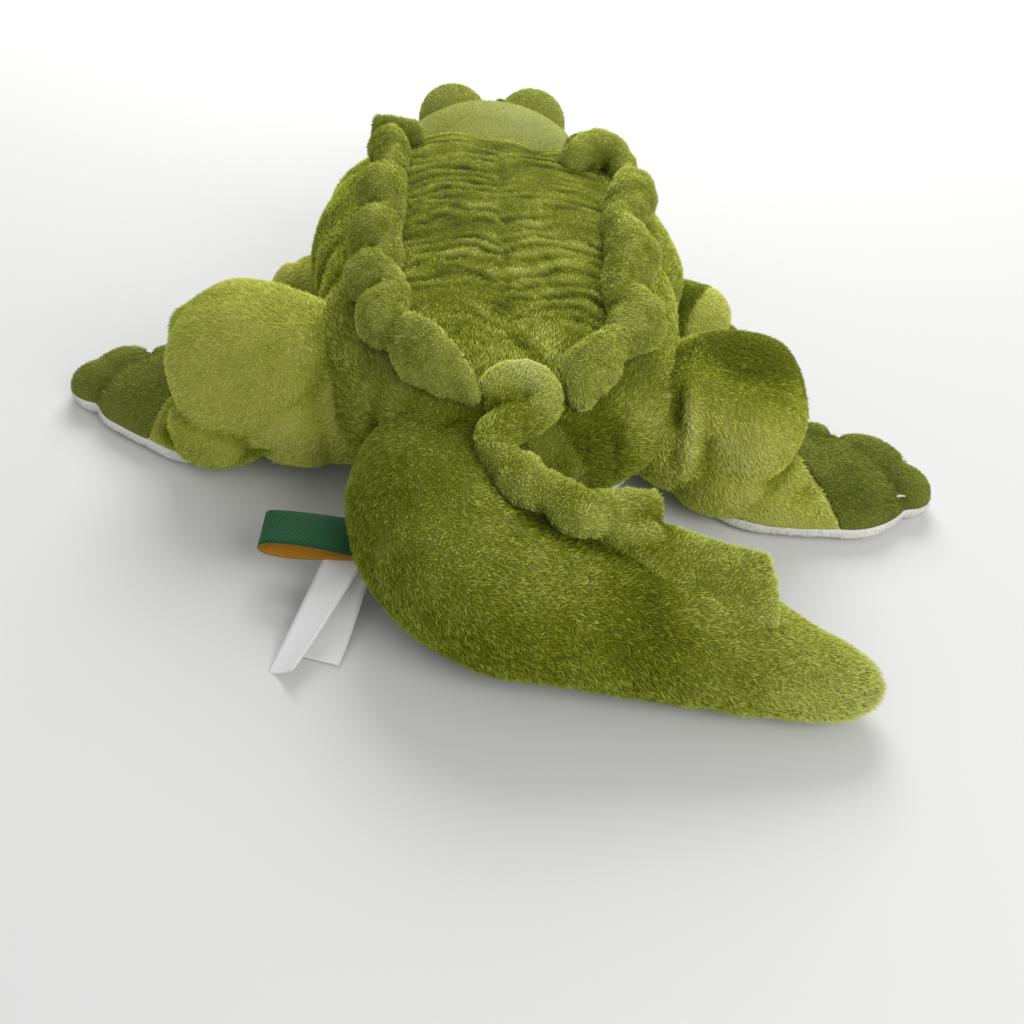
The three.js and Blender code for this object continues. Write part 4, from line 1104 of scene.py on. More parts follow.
# %% [markdown]
# ## Eyes, nostrils and mouth
#
# The eyes are glossy domes on a shank, like buttons, each with a dark pupil set in. The nostrils are two
# stuffed bumps. The mouth is lined with felt, and a strip of felt is cut into teeth along each side.

# %% Eyes
eye_aim = np.array((0.56, 0.8, 0.16))
eye_aim /= np.linalg.norm(eye_aim)
eye_radius, eye_dome, eye_sunk = 9, 7, 1.4


def finished(name, bm):
    """A new object from a bmesh, with its normals recalculated."""
    bmesh.ops.recalc_face_normals(bm, faces=bm.faces)
    return piece_from(name, bm)


def placed(bm, spot, turned):
    """Turns a bmesh, moves it to its spot, and scales it from millimetres to metres."""
    matrix = Matrix.Scale(MM, 4) @ Matrix.Translation(spot) @ turned
    bmesh.ops.transform(bm, matrix=matrix, verts=bm.verts)


def lathed(name, profile, seat, aim, steps=40):
    """Spins a profile of (radius, height) round an axis that stands on seat and looks along aim."""
    bm = bmesh.new()
    verts = [bm.verts.new((radius, 0, height)) for radius, height in profile]
    edges = [bm.edges.new(pair) for pair in zip(verts, verts[1:])]
    bmesh.ops.spin(
        bm, geom=verts + edges, cent=(0, 0, 0), axis=upright, angle=2 * math.pi, steps=steps, use_merge=True,
    )
    bmesh.ops.remove_doubles(bm, verts=bm.verts, dist=1e-4)
    placed(bm, seat, Vector(aim).to_track_quat("Z", "Y").to_matrix().to_4x4())
    return finished(name, bm)


def arc(radius, height, steps):
    """A quarter of a dome's outline, from its rim up to its top."""
    angles = np.linspace(0, math.pi / 2, steps)
    return [(max(radius * math.cos(a), 0.0), height * math.sin(a)) for a in angles]


shank = [(0, -13), (1.6, -13), (2.2, -12.4), (2.2, -0.6), (8.2, -0.6), (8.8, -0.3)]
pupil_proud, pupil_radius, pupil_floor = 0.12, 3.9, [(0, 5.6), (3.6, 5.6)]
pupil_dome = arc(eye_radius + pupil_proud, eye_dome + pupil_proud, 24)
pupil = pupil_floor + [(radius, height) for radius, height in pupil_dome if radius < pupil_radius]
eyes, pupils = {}, {}
for hand, side in (("left", -1), ("right", 1)):
    aim = np.array((side * eye_aim[0], eye_aim[1], eye_aim[2]))
    reach = 1 / np.linalg.norm(aim / np.array(mound_half))
    seat = mound_centre(side) + aim * (reach - eye_sunk)
    eyes[hand] = lathed(f"{hand}_eye_button", shank + arc(eye_radius, eye_dome, 14), seat, aim)
    pupils[hand] = lathed(f"{hand}_pupil", pupil, seat, aim)

# %% Nostrils
nostril_half, nostril_apart, nostril_behind = (7, 7.6, 7), 12, 15
pit_depth, pit_radius = 2.6, 2.6
nostril_share = 1 - nostril_behind / head_length
spread = math.acos(nostril_apart / float(head_form.half_width(nostril_share)))
nostrils = {}
for hand, side in (("left", -1), ("right", 1)):
    nose = head_form.at(nostril_share, spread if side > 0 else math.pi - spread)
    bump = finished(f"{hand}_nostril_skin", ball(nose, nostril_half, 40, 28))
    spots = places(bump)
    pit = np.linalg.norm(spots - (nose + np.array((side * 2.2, 3.2, 6.0))), axis=1)
    put(bump, spots - np.array(upright) * (pit_depth * np.exp(-((pit / pit_radius) ** 2)))[:, None])
    # Painted shade in each nostril's pit.
    dress(bump, np.array((0, 0.7, -0.6)), -0.6 * np.exp(-((pit / 3.0) ** 2)), np.full(len(spots), 0.4))
    nostrils[hand] = bump

# %% The linings of the mouth
lining_thickness, lining_gap, lining_inset, lining_round = 1.6, 0.4, 7, 0.35
lining_step = lining_gap + lining_thickness
lining_start = mouth_back + 9 + 0.95


def outline_slab(name, form, low, high, steps=60):
    """A thin slab with the outline of a form seen from above, with rounded edges."""
    bm = bmesh.new()
    shares = np.linspace(0, 1, steps)
    right, left = form.at(shares, 0.0, -lining_inset), form.at(shares, math.pi, -lining_inset)
    ring = [spot for spot in (*right, *left[::-1]) if spot[1] > lining_start]
    face = bm.faces.new([bm.verts.new((spot[0], spot[1], low)) for spot in ring])
    raised = bmesh.ops.extrude_face_region(bm, geom=[face])
    top = [item for item in raised["geom"] if isinstance(item, bmesh.types.BMVert)]
    bmesh.ops.translate(bm, vec=(0, 0, high - low), verts=top)
    rims = [edge for edge in bm.edges if abs(edge.verts[0].co.z - edge.verts[1].co.z) < 0.01]
    bmesh.ops.bevel(
        bm, geom=rims, offset=lining_round, segments=2, affect="EDGES", profile=0.5, material=-1,
    )
    bmesh.ops.scale(bm, vec=(MM, MM, MM), verts=bm.verts)
    return finished(name, bm)


jaw_top = mouth_height - lining_thickness * 2 - lining_gap * 3
upper_lining = outline_slab("upper_lining", head_form, mouth_height - lining_step, mouth_height - lining_gap)
lower_lining = outline_slab("lower_lining", jaw_form, jaw_top + lining_gap, jaw_top + lining_step)

# %% [markdown]
# A tooth starts as a cone, which is turned point down and pressed nearly flat, as a tooth cut from felt is.

# %% The teeth
teeth = {}
tooth_pitch, tooth_height, tooth_count, tooth_inset = 12, 8, 7, 3.2
pressed_flat = (0.16, 0.96, -1)
for hand, side in (("left", -1), ("right", 1)):
    flank = 0.0 if side > 0 else math.pi
    bm = bmesh.new()
    for index in range(tooth_count):
        middle_y = mouth_back + 6 + tooth_pitch * (index + 0.5)
        share = (middle_y - head_spine[0][1]) / head_length
        edge_point = head_form.at(share, flank, -tooth_inset)
        ahead = head_form.at(share + 0.02, flank, -tooth_inset) - edge_point
        tooth = bmesh.ops.create_cone(
            bm, cap_ends=True, segments=20, radius1=tooth_pitch / 2, radius2=0.6, depth=tooth_height,
        )["verts"]
        bmesh.ops.scale(bm, vec=pressed_flat, verts=tooth)
        heading = Matrix.Rotation(math.atan2(ahead[1], ahead[0]) - math.pi / 2, 4, "Z")
        root_height = mouth_height - lining_gap - tooth_height / 2
        place_at = Matrix.Translation((edge_point[0], edge_point[1], root_height))
        bmesh.ops.transform(bm, matrix=place_at @ heading, verts=tooth)
    bmesh.ops.scale(bm, vec=(MM, MM, MM), verts=bm.verts)
    teeth[hand] = finished(f"{hand}_felt_teeth", bm)
print(f"mouth: {tooth_count} teeth each side")

# %% [markdown]
# ## The two labels
#
# Both are sewn into the seam at the root of the tail. One is a stiff woven loop, green outside with an
# orange back that shows inside the loop. The other is a soft white satin strip, folded double, whose two
# leaves hang down side by side. Both are plain cloth.

# %% A ribbon along a line


def ribbon(name, line, width, thickness, place_at, heading, twist, roll=0.0, steps=70, across_steps=8):
    """A strip of cloth along a line of (outward, up) points, rolled by an angle. Its face is marked."""
    path = Line([(out, high * math.sin(roll), high * math.cos(roll)) for out, high in line])
    bm = bmesh.new()
    bmesh.ops.create_grid(bm, x_segments=steps, y_segments=across_steps, size=0.5)
    bm.verts.ensure_lookup_table()
    for vert in bm.verts:
        share, side = vert.co.x + 0.5, vert.co.y
        spot = Vector(path.at(share)) + Vector(twist(share, side))
        vert.co = spot + Vector((0, -side * width * math.cos(roll), side * width * math.sin(roll)))
    placed(bm, place_at, Matrix.Rotation(heading, 4, "Z"))
    bmesh.ops.solidify(bm, geom=bm.faces[:], thickness=thickness * MM)
    strip = finished(name, bm)
    flat = Matrix.Rotation(-heading, 3, "Z")
    local = (places(strip) - np.array(place_at)) @ np.array(flat).T
    facing = outwards(strip) @ np.array(flat).T

    def unrolled(points):
        return np.stack([points[:, 0], points[:, 1] * math.sin(roll) + points[:, 2] * math.cos(roll)], 1)

    shares = np.linspace(0, 1, 200)
    walk = kdtree.KDTree(len(shares))
    for index, (out, high) in enumerate(unrolled(path.at(shares))):
        walk.insert(Vector((out, 0, high)), index)
    walk.balance()
    nearest = [shares[walk.find(Vector((out, 0, high)))[1]] for out, high in unrolled(local)]
    along, facing = unrolled(path.along(np.array(nearest))), unrolled(facing)
    attribute(strip, "face", (facing[:, 1] * along[:, 0] > facing[:, 0] * along[:, 1]).astype(float))
    return strip


# %% [markdown]
# The loop goes out from the seam along its upper half and comes back along its lower one. Both leaves of the
# care label hang from the same spot, the shorter one turned a little aside.

# %% The loop and the care label
loop_line = [
    (-12, 0.8), (8, 3.4), (24, 5.6), (36, 5.8), (43, 4.2), (45.5, 0), (43, -4.2), (36, -6), (24, -5.6),
    (8, -3.6), (-12, -1),
]
label_seam = tail_form.at(0.19, 0.0)
loop_place = (label_seam[0], label_seam[1] - 4, 27)
loop_roll = math.radians(20)
loop_label = ribbon(
    "loop_label", loop_line, 19, 0.9, loop_place, math.pi - 0.12, roll=loop_roll,
    twist=lambda share, side: (0, 0, 0.8 * math.sin(share * 9 + side * 2)),
)

care_height, care_reach = 22, 74
care_heading = math.pi + math.radians(66)
front_line = [(-10, 0), (10, -1.5), (30, -7.5), (50, -14), (66, -18.5), (care_reach, -20.2)]
back_line = [(-10, -1), (8, -3.4), (24, -10.5), (40, -16.6), (52, -19.6), (care_reach - 14, -20.6)]
care_place = (label_seam[0], label_seam[1], care_height)
care_front = ribbon(
    "care_label_front", front_line, 23, 0.5, care_place, care_heading,
    twist=lambda share, side: (0, side * 9 * share, -9 * share * side + 2.0 * (side * 2) ** 2 * share),
)
care_back = ribbon(
    "care_label_back", back_line, 24, 0.5, care_place, care_heading + math.radians(9),
    twist=lambda share, side: (0, 0, 0.4 * math.sin(share * 5)),
)

# %% [markdown]
# ## The materials
#
# Plush is colour in layers: painted shade at the roots, a painted highlight at the tips, and painted sheen
# and shade, with the plush's uneven tone, in the patches that the tint carries. Each tuft carries where it is
# along its length and its own share of chance, and the material reads both.

# %% Node helpers


def new_material(name):
    material = bpy.data.materials.new(name)
    material.use_nodes = True
    tree = material.node_tree
    return material, tree, tree.nodes["Principled BSDF"]


def add(tree, kind, settings=(), **inputs):
    """A node with its settings. Inputs are named or numbered (_0), and may be another node's output."""
    made = tree.nodes.new(kind)
    for key, value in dict(settings).items():
        setattr(made, key, value)
    for key, value in inputs.items():
        socket = made.inputs[int(key[1:]) if key[0] == "_" else key]
        if isinstance(value, bpy.types.NodeSocket):
            tree.links.new(value, socket)
        else:
            socket.default_value = value
    return made


def mix_colour(tree, share, low, high):
    made = add(tree, "ShaderNodeMix", {"data_type": "RGBA"})
    for index, value in ((0, share), (6, low), (7, high)):
        if isinstance(value, bpy.types.NodeSocket):
            tree.links.new(value, made.inputs[index])
        elif index:
            made.inputs[index].default_value = (*value, 1)
        else:
            made.inputs[index].default_value = value
    return made.outputs[2]


def arithmetic(tree, operation, *values):
    """One Math node over numbers or other nodes' outputs."""
    inputs = {f"_{index}": value for index, value in enumerate(values)}
    return add(tree, "ShaderNodeMath", {"operation": operation}, **inputs).outputs[0]


def ramp(tree, value, low, high, first=0.0, last=1.0):
    """Runs from first to last while the value runs from low to high."""
    return add(tree, "ShaderNodeMapRange", _0=value, _1=low, _2=high, _3=first, _4=last).outputs[0]


def object_place(tree):
    return tree.nodes.new("ShaderNodeTexCoord").outputs["Object"]


def stored(tree, name):
    """A number that the mesh carries."""
    return add(tree, "ShaderNodeAttribute", {"attribute_name": name}).outputs["Fac"]


def noise_over(tree, scale, detail=2.0):
    place = object_place(tree)
    return add(tree, "ShaderNodeTexNoise", Vector=place, Scale=scale, Detail=detail).outputs["Fac"]


def set_sockets(shader, **values):
    """Plain numbers and colours, set on the shader's own sockets."""
    for key, value in values.items():
        shader.inputs[key.replace("_", " ")].default_value = value


# %% [markdown]
# The tint, the noise and a fine grain add up to a level. The level picks a colour between the root's, the
# middle's, the light one and a paler one still, and the place along the tuft darkens it with painted shade
# at the root or lightens it with a painted highlight at the tip.

# %% Plush


def plush(name, dark, middle, light, sheen=0.25, contrast=1.0):
    """A pile with painted shade at its roots and a painted highlight at its tips, whose colour runs from
    patch to patch.
    """
    material, tree, shader = new_material(name)
    pale = tuple(min(channel + 0.12, 1.0) for channel in light)
    level = arithmetic(tree, "MULTIPLY_ADD", noise_over(tree, 1 / 0.03), 0.5, 0.25)
    level = arithmetic(tree, "MULTIPLY_ADD", stored(tree, "tint"), 0.5, level)
    grain = arithmetic(tree, "MULTIPLY_ADD", noise_over(tree, 700.0, 1.0), 0.3, -0.15)
    level = arithmetic(tree, "ADD", level, grain)
    colour = dark
    for low, high, layer in ((0.0, 0.5, middle), (0.5, 1.0, light), (1.1, 1.6, pale)):
        colour = mix_colour(tree, ramp(tree, level, low, high), colour, layer)
    # Painted shade at the tuft's root and a painted highlight at its tip.
    shade = ramp(tree, stored(tree, "tip"), 0.0, 1.0, 1 - 0.58 * contrast, 1 + 0.4 * contrast)
    scaled = add(tree, "ShaderNodeVectorMath", {"operation": "SCALE"}, _0=colour, Scale=shade)
    tree.links.new(scaled.outputs[0], shader.inputs["Base Color"])
    set_sockets(
        shader, Roughness=0.9, Specular_IOR_Level=0.1, Sheen_Weight=sheen, Sheen_Roughness=0.5,
        Sheen_Tint=(*light, 1),
    )
    return material


plushes = {
    "back_plush": plush("back plush", (0.075, 0.09, 0.002), (0.27, 0.31, 0.012), (0.60, 0.65, 0.13)),
    "leg_plush": plush("leg plush", (0.15, 0.18, 0.006), (0.48, 0.54, 0.045), (0.78, 0.82, 0.16)),
    "foot_plush": plush("foot plush", (0.06, 0.085, 0.007), (0.15, 0.19, 0.022), (0.32, 0.36, 0.06)),
    "cream_plush": plush(
        "cream plush", (0.6, 0.57, 0.46), (0.8, 0.77, 0.66), (0.94, 0.93, 0.86), sheen=0.1, contrast=0.2,
    ),
}

# %% [markdown]
# The other finishes are plainer. Felt, lining and satin are one mottled cloth at different scales. The loop
# is a twill, whose diagonal ridges are a wave. The eyes are clear-coated plastic.

# %% Cloth, ribbon and plastic


def cloth_material(name, low, high, scale, depth, roughness=0.85, sheen=0.1):
    """A plain cloth with a fine mottle and a little relief."""
    material, tree, shader = new_material(name)
    mottle = noise_over(tree, float(scale), 4.0)
    tree.links.new(mix_colour(tree, mottle, low, high), shader.inputs["Base Color"])
    bump = add(tree, "ShaderNodeBump", Height=mottle, Strength=depth, Distance=0.001)
    tree.links.new(bump.outputs[0], shader.inputs["Normal"])
    set_sockets(shader, Roughness=roughness, Sheen_Weight=sheen)
    return material


def plastic(name, colour, roughness=0.12):
    """Hard moulded plastic with faint clouding."""
    material, tree, shader = new_material(name)
    darker = tuple(channel * 0.7 for channel in colour)
    tree.links.new(mix_colour(tree, noise_over(tree, 120.0), darker, colour), shader.inputs["Base Color"])
    set_sockets(shader, Roughness=roughness, Coat_Weight=0.5)
    return material


def twill_material(name, green, orange):
    """Woven ribbon: diagonal ridges, green on the face and orange on the back."""
    material, tree, shader = new_material(name)
    wave = add(
        tree, "ShaderNodeTexWave", {"wave_type": "BANDS", "bands_direction": "DIAGONAL"},
        Vector=object_place(tree), Scale=260.0, Distortion=0.3,
    ).outputs["Fac"]
    green_side = mix_colour(tree, wave, tuple(c * 0.55 for c in green), green)
    orange_side = mix_colour(tree, wave, tuple(c * 0.6 for c in orange), orange)
    both_sides = mix_colour(tree, stored(tree, "face"), orange_side, green_side)
    tree.links.new(both_sides, shader.inputs["Base Color"])
    bump = add(tree, "ShaderNodeBump", Height=wave, Strength=0.5, Distance=0.0003)
    tree.links.new(bump.outputs[0], shader.inputs["Normal"])
    set_sockets(shader, Roughness=0.6, Specular_IOR_Level=0.25)
    return material


twill = twill_material("twill", (0.005, 0.08, 0.022), (0.55, 0.26, 0.01))
eye_plastic = plastic("eye plastic", (0.48, 0.26, 0.02))
pupil_plastic = plastic("pupil plastic", (0.008, 0.008, 0.008), 0.08)
washer_plastic = plastic("washer plastic", (0.75, 0.75, 0.72), 0.35)
felt = cloth_material("felt", (0.83, 0.80, 0.70), (0.9, 0.88, 0.8), 500, 0.3)
mouth_felt = cloth_material("mouth felt", (0.36, 0.10, 0.08), (0.5, 0.17, 0.14), 500, 0.3)
satin = cloth_material("satin", (0.78, 0.78, 0.76), (0.86, 0.86, 0.85), 900, 0.1, roughness=0.42)
fibre = cloth_material("fibre filling", (0.74, 0.74, 0.72), (0.9, 0.9, 0.88), 160, 0.8, 0.95, 0.3)
pouch_cloth = cloth_material("pouch cloth", (0.62, 0.60, 0.54), (0.74, 0.72, 0.66), 1400, 0.4)
print("finishes:", ", ".join(material.name for material in bpy.data.materials))

# %% [markdown]
# ## The pile
#
# One tuft is a three-sided cone from bmesh. It is stamped over a skin: the roots are spread evenly by area,
# each tuft leans the way the nap lies, and its length follows the skin's own "pile" value. Noise gathers the
# tufts into clumps, as the real pile is. The lids inside the toy, where one skin ends at a cut, stay bare.

# %% One tuft
rng = np.random.default_rng(20)
clump_size = 2.6
root_depth = 0.35  # how deep a tuft starts under its skin
bare_below = 0.8  # no tufts where the toy rests on the floor


def tuft_template():
    bm = bmesh.new()
    bmesh.ops.create_cone(bm, cap_ends=True, segments=3, radius1=1, radius2=0, depth=1)
    bmesh.ops.remove_doubles(bm, verts=bm.verts, dist=1e-6)
    bmesh.ops.translate(bm, vec=(0, 0, 0.5), verts=bm.verts)
    bmesh.ops.triangulate(bm, faces=bm.faces)
    bm.verts.index_update()
    corners = np.array([vert.co for vert in bm.verts])
    faces = np.array([[vert.index for vert in face.verts] for face in bm.faces])
    bm.free()
    return corners, faces


tuft_corners, tuft_faces = tuft_template()
print(f"tuft: {len(tuft_faces)} triangles")

# %% Where the tufts stand


def drift(points, size, seed):
    """Soft noise with a direction."""
    return np.stack([lumps(points, size, seed + axis) for axis in range(3)], 1)


def skin_triangles(skin):
    """The corners of the skin's triangles, and their areas, with none for a lid."""
    mesh = skin.data
    mesh.calc_loop_triangles()
    count = len(mesh.loop_triangles)
    corners = np.empty(count * 3, np.int32)
    mesh.loop_triangles.foreach_get("vertices", corners)
    corners = corners.reshape(-1, 3)
    spots = places(skin)
    a, b, c = (spots[corners[:, i]] for i in range(3))
    areas = np.linalg.norm(np.cross(b - a, c - a), axis=1) / 2
    if "lid" in mesh.attributes:
        lids = np.empty(len(mesh.polygons), np.int32)
        mesh.attributes["lid"].data.foreach_get("value", lids)
        owners = np.empty(count, np.int32)
        mesh.loop_triangle_polygons.foreach_get("value", owners)
        areas = np.where(lids[owners] > 0, 0, areas)
    return corners, areas


def scattered(corners, areas, spread):
    """Random spots spread evenly by area: the corners round each, and its share of each corner."""
    total = int(areas.sum() * spread)
    steps = (np.arange(total) + rng.random(total)) / total * areas.sum()
    chosen = np.clip(np.searchsorted(np.cumsum(areas), steps), 0, len(areas) - 1)
    u, v = rng.random((2, total))
    flip = u + v > 1
    u, v = np.where(flip, 1 - u, u), np.where(flip, 1 - v, v)
    return corners[chosen], np.stack((1 - u - v, u, v), 1)


# %% [markdown]
# Every tuft has its own three directions: along its tip, across it, and out of its face. The template's
# corners are stretched along them, all tufts at once, and written into one mesh.

# %% Stamping and combing


def stamp(name, roots, across, face, tip, thick, long):
    """One mesh with a tuft at each root."""
    local = tuft_corners[None, :, :]
    points = (
        roots[:, None]
        + across[:, None] * (local[..., 0:1] * thick[:, None, None])
        + face[:, None] * (local[..., 1:2] * thick[:, None, None])
        + tip[:, None] * (local[..., 2:3] * long[:, None, None])
    )
    points[..., 2] = np.maximum(points[..., 2], floor_level)
    total, corner_count, face_count = len(roots), len(tuft_corners), len(tuft_faces)
    indices = (tuft_faces[None] + (np.arange(total) * corner_count)[:, None, None]).astype(np.int32)
    made = bpy.data.meshes.new(name)
    made.vertices.add(total * corner_count)
    made.vertices.foreach_set("co", (points * MM).astype(np.float32).ravel())
    made.loops.add(total * face_count * 3)
    made.polygons.add(total * face_count)
    made.loops.foreach_set("vertex_index", indices.ravel())
    made.polygons.foreach_set("loop_start", np.arange(0, total * face_count * 3, 3, dtype=np.int32))
    made.update()
    made.validate()
    return link(name, made)


def comb(name, skin, spread, length, width=0.72, lean=60):
    """A coat of tufts over a skin. spread is the number of tufts to each square millimetre."""
    corners, weights = scattered(*skin_triangles(skin), spread)

    def at_roots(values):
        return np.einsum("ij,ij...->i...", weights, values[corners])

    spots = places(skin)
    naps = attribute(skin, "nap") + 0.5 * drift(spots, 18, 40) + 0.3 * drift(spots, 6, 50)
    roots, up, nap = at_roots(spots), unit(at_roots(outwards(skin))), at_roots(naps)
    tint, pile = at_roots(attribute(skin, "tint")), at_roots(attribute(skin, "pile"))
    clump = lumps(roots, clump_size, 70)
    nap = nap + 0.9 * drift(roots, 1.5 * clump_size, 71)
    keep = roots[:, 2] > bare_below
    roots, up, nap, tint, pile, clump = (values[keep] for values in (roots, up, nap, tint, pile, clump))
    total = len(roots)
    nap = unit(nap + 0.26 * rng.normal(size=(total, 3)))
    nap = unit(nap - up * np.sum(nap * up, 1)[:, None])
    tilt = np.radians(lean + 8 * rng.normal(size=total) - 14 * clump)
    tip = up * np.cos(tilt)[:, None] + nap * np.sin(tilt)[:, None]
    across = unit(np.cross(tip, up))
    long = length * pile * (0.8 + 0.4 * rng.random(total))
    thick = width * (0.75 + 0.5 * rng.random(total)) / 2
    coat = stamp(name, roots - up * root_depth, across, np.cross(across, tip), tip, thick, long)
    chance = 0.25 * rng.normal(size=total) + 0.7 * clump
    attribute(coat, "tint", np.repeat(tint + chance, len(tuft_corners)))
    attribute(coat, "tip", np.tile(tuft_corners[:, 2], total))
    print(f"{name}: {total} tufts")
    return coat


# %% [markdown]
# Each skin gets its finish and its coat and stands for its node of the imported model. A skin held by one
# body moves with it; a skin that crosses a joint only has its place baked in and is held by neither.


def hold(piece, held):
    """Held by one body. With (body, body, start, end) between two, its place is only baked in, and the four
    are not used.
    """
    if isinstance(held, str):
        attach(piece, held)
    else:
        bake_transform(piece)


def bare(piece, node, finish, held):
    """A piece without a pile, in place of a node."""
    piece.data.materials.append(finish)
    hold(piece, held)
    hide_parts(node)


def furred(skin, node, pile_name, slot, held, **comb_settings):
    """A skin with its coat of tufts, in place of a node."""
    skin.data.materials.clear()
    bare(skin, node, plushes[slot], held)
    coat = comb(pile_name, skin, **comb_settings)
    coat.data.materials.append(plushes[slot])
    hold(coat, held)


# %% The torso and its crests
long_pile = 3.3
furred(back_skin, "back_cover", "back_pile", "back_plush", "torso", spread=0.95, length=long_pile)
furred(belly_skin, "belly_panel", "belly_pile", "cream_plush", "torso", spread=0.2, length=1.7, width=1.4)
for node, skin in crests.items():
    furred(skin, node, f"{node}_pile", "back_plush", "torso", spread=1.1, length=2.9)

# %% The tail
tail_bend = ("torso", "tail_root", (0, -0.112, 0.05), (-0.012, -0.156, 0.05))
tip_start = Vector(tail_middle) * MM
tip_bend = ("tail_root", "tail_end", tip_start, tip_start + Vector(tail_heading) * 0.04)
for skin, node, pile_name, bend, spread, length in (
    (tail_root_skin, "tail_root_cover", "tail_root_pile", tail_bend, 1.0, long_pile),
    (tail_end_skin, "tail_end_cover", "tail_end_pile", tip_bend, 1.0, long_pile),
    (tail_root_crest_skin, "tail_root_crest", "tail_root_crest_pile", tail_bend, 1.2, 2.2),
    (tail_end_crest_skin, "tail_end_crest", "tail_end_crest_pile", tip_bend, 1.2, 2.2),
):
    furred(skin, node, pile_name, "back_plush", bend, spread=spread, length=length)

# %% The legs
for name, leg in legs.items():
    size, hip, body = leg["size"], leg["hip"], f"{name}_leg"
    start = (hip.spot + hip.outward * (size["seat"] - 6)) * MM
    end = (hip.spot + hip.outward * (size["seat"] + size["thigh"] * 0.42)) * MM
    leg["bend"] = ("torso", body, tuple(start), tuple(end))
    furred(
        leg["leg"], f"{body}_cover", f"{body}_pile", "leg_plush", leg["bend"],
        spread=0.95, length=3.4, lean=64,
    )
    furred(leg["foot"], f"{name}_foot_top", f"{name}_foot_pile", "foot_plush", body, spread=1.2, length=2.6)
    furred(
        leg["sole"], f"{name}_sole", f"{name}_sole_pile", "cream_plush", body,
        spread=1.1, length=1.7, width=0.75,
    )

# %% The head and the mouth
neck_bend = ("torso", "head", (0, 0.150, 0.052), (0, 0.200, 0.052))
furred(head_skin, "head_cover", "head_pile", "back_plush", neck_bend, spread=0.55, length=3.0, width=0.9)
furred(
    jaw_skin, "lower_jaw_cover", "jaw_pile", "cream_plush", "lower_jaw", spread=0.4, length=1.5, width=1.1,
)
bare(upper_lining, "upper_mouth_lining", mouth_felt, "head")
bare(lower_lining, "lower_mouth_lining", mouth_felt, "lower_jaw")

# %% The labels
bare(loop_label, "woven_loop_label", twill, tail_bend)
bare(care_front, "care_label", satin, tail_bend)
bare(care_back, "care_label", satin, tail_bend)

# %% Eyes, teeth, nostrils and mounds
for hand in ("left", "right"):
    bare(eyes[hand], f"{hand}_eye", eye_plastic, "head")
    bare(pupils[hand], f"{hand}_eye", pupil_plastic, "head")
    bare(teeth[hand], f"{hand}_teeth", felt, "head")
    nostril = f"{hand}_nostril"
    furred(nostrils[hand], nostril, f"{nostril}_pile", "back_plush", "head", spread=1.2, length=1.6)
    furred(
        mounds[hand], f"{hand}_eye_mound", f"{hand}_mound_pile", "back_plush", "head", spread=1.1, length=2.2,
    )
    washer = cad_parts[f"{hand}_eye_washer"]
    washer.data.materials.clear()
    washer.data.materials.append(washer_plastic)

# %% [markdown]
# ## What is inside
#
# Each bag is filled with loose fibre, and the torso holds a pouch of pellets for weight. Nothing of it shows,
# but it is there: each filling is its bag's own shape, melted again in larger voxels and drawn in by a few
# millimetres, so that it stays clear of the skin when a limb bends.

# %% The fillings
filling_voxel = 5.0


def mesh_of(*pieces):
    """The pieces' meshes, one bmesh each."""
    forms = []
    for piece in pieces:
        bm = bmesh.new()
        bm.from_mesh(piece.data)
        forms.append(bm)
    return forms


def filled(body, forms, draw_in, held):
    """A filling for a body: the forms melted together and drawn in."""
    mass = melt(f"{body}_fibre", forms, filling_voxel, 2)
    swell(mass, np.full(len(mass.data.vertices), -draw_in))
    bare(mass, f"{body}_filling", fibre, held)


filled("torso", [form_mesh(torso_form, 60, 72)], 11, "torso")
filled("tail_root", mesh_of(tail_root_skin), 6, tail_bend)
filled("tail_end", mesh_of(tail_end_skin), 6, tip_bend)
filled("head", mesh_of(head_skin), 5, neck_bend)
filled("lower_jaw", mesh_of(jaw_skin), 3, "lower_jaw")
for name, leg in legs.items():
    filled(f"{name}_leg", mesh_of(leg["leg"], leg["foot"]), 7, leg["bend"])

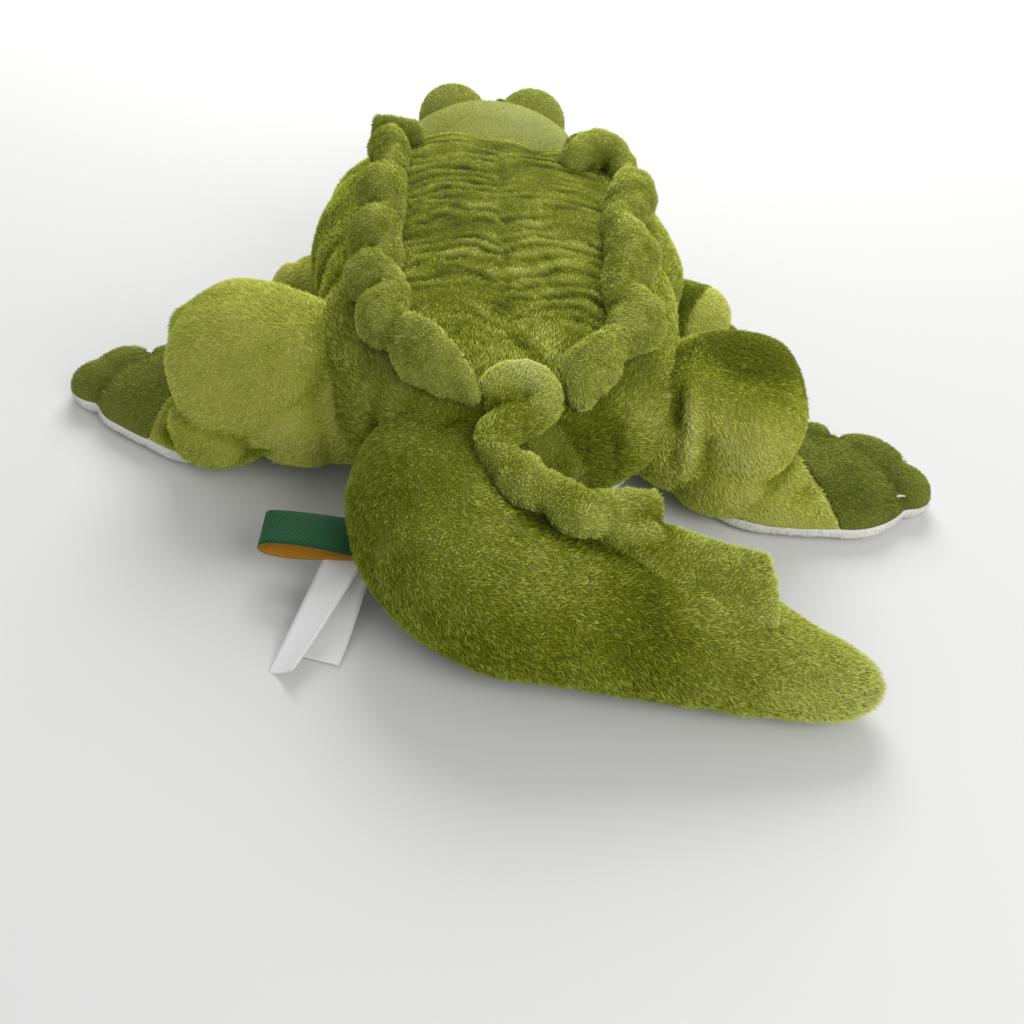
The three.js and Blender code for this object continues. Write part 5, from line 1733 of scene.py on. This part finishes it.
# %% The pouch of pellets
pouch_low, pouch_high = (np.array(corner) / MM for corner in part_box("pellet_pouch"))
pouch = finished("pellet_bag", ball((pouch_low + pouch_high) / 2, (pouch_high - pouch_low) / 2 - 0.5, 60, 40))
swell(pouch, 1.5 * lumps(places(pouch), 7, 61) - 1.2)
bare(pouch, "pellet_pouch", pouch_cloth, "torso")
print("pellet pouch:", (pouch_high - pouch_low).round(0).tolist(), "mm")

# %% [markdown]
# ## The floor and the light
#
# The toy lies on a pale floor in soft daylight. The light comes from a pale sky and from two wide lamps: one
# stands for a window behind the toy and to its right, and the other lights the far floor. Their level is
# one where a colour looks about as it is written. The camera, and what shines or lets light through, sees
# the background as pure white.

# %% The floor
bm = bmesh.new()
bmesh.ops.create_grid(bm, x_segments=8, y_segments=8, size=3)
floor = piece_from("floor", bm)
material, tree, shader = new_material("floor")
set_sockets(shader, Base_Color=(0.72, 0.715, 0.7, 1), Roughness=0.9)
floor.data.materials.append(material)

# %% The light
world = bpy.data.worlds.new("world")
bpy.context.scene.world = world
world.use_nodes = True
tree = world.node_tree
sky = tree.nodes["Background"]
set_sockets(sky, Color=(0.95, 0.97, 1, 1), Strength=0.5)
white = add(tree, "ShaderNodeBackground", Color=(1, 1, 1, 1), Strength=1.0)
path = tree.nodes.new("ShaderNodeLightPath")
seen = path.outputs["Is Camera Ray"]
for ray in ("Is Glossy Ray", "Is Transmission Ray"):
    seen = arithmetic(tree, "MAXIMUM", seen, path.outputs[ray])
choose = add(tree, "ShaderNodeMixShader", _0=seen, _1=sky.outputs[0], _2=white.outputs[0])
tree.links.new(choose.outputs[0], tree.nodes["World Output"].inputs[0])

# Each lamp: where it stands and what it lights, in metres, its width in metres, and its power in watts
lamps = {
    "window": ((0.75, -0.95, 0.85), (0, -0.1, 0), 0.9, 8),
    "far_window": ((0.1, 1.5, 1.2), (0, 0.9, 0), 1.4, 34),
}
for name, (stands, lights, width, watts) in lamps.items():
    lamp_data = bpy.data.lights.new(name, "AREA")
    lamp_data.shape, lamp_data.size, lamp_data.energy = "DISK", width, watts
    lamp = bpy.data.objects.new(name, lamp_data)
    bpy.context.scene.collection.objects.link(lamp)
    away = Vector(stands) - Vector(lights)
    lamp.matrix_world = Matrix.Translation(stands) @ away.to_track_quat("Z", "Y").to_matrix().to_4x4()
bpy.context.scene.view_settings.view_transform = "Standard"
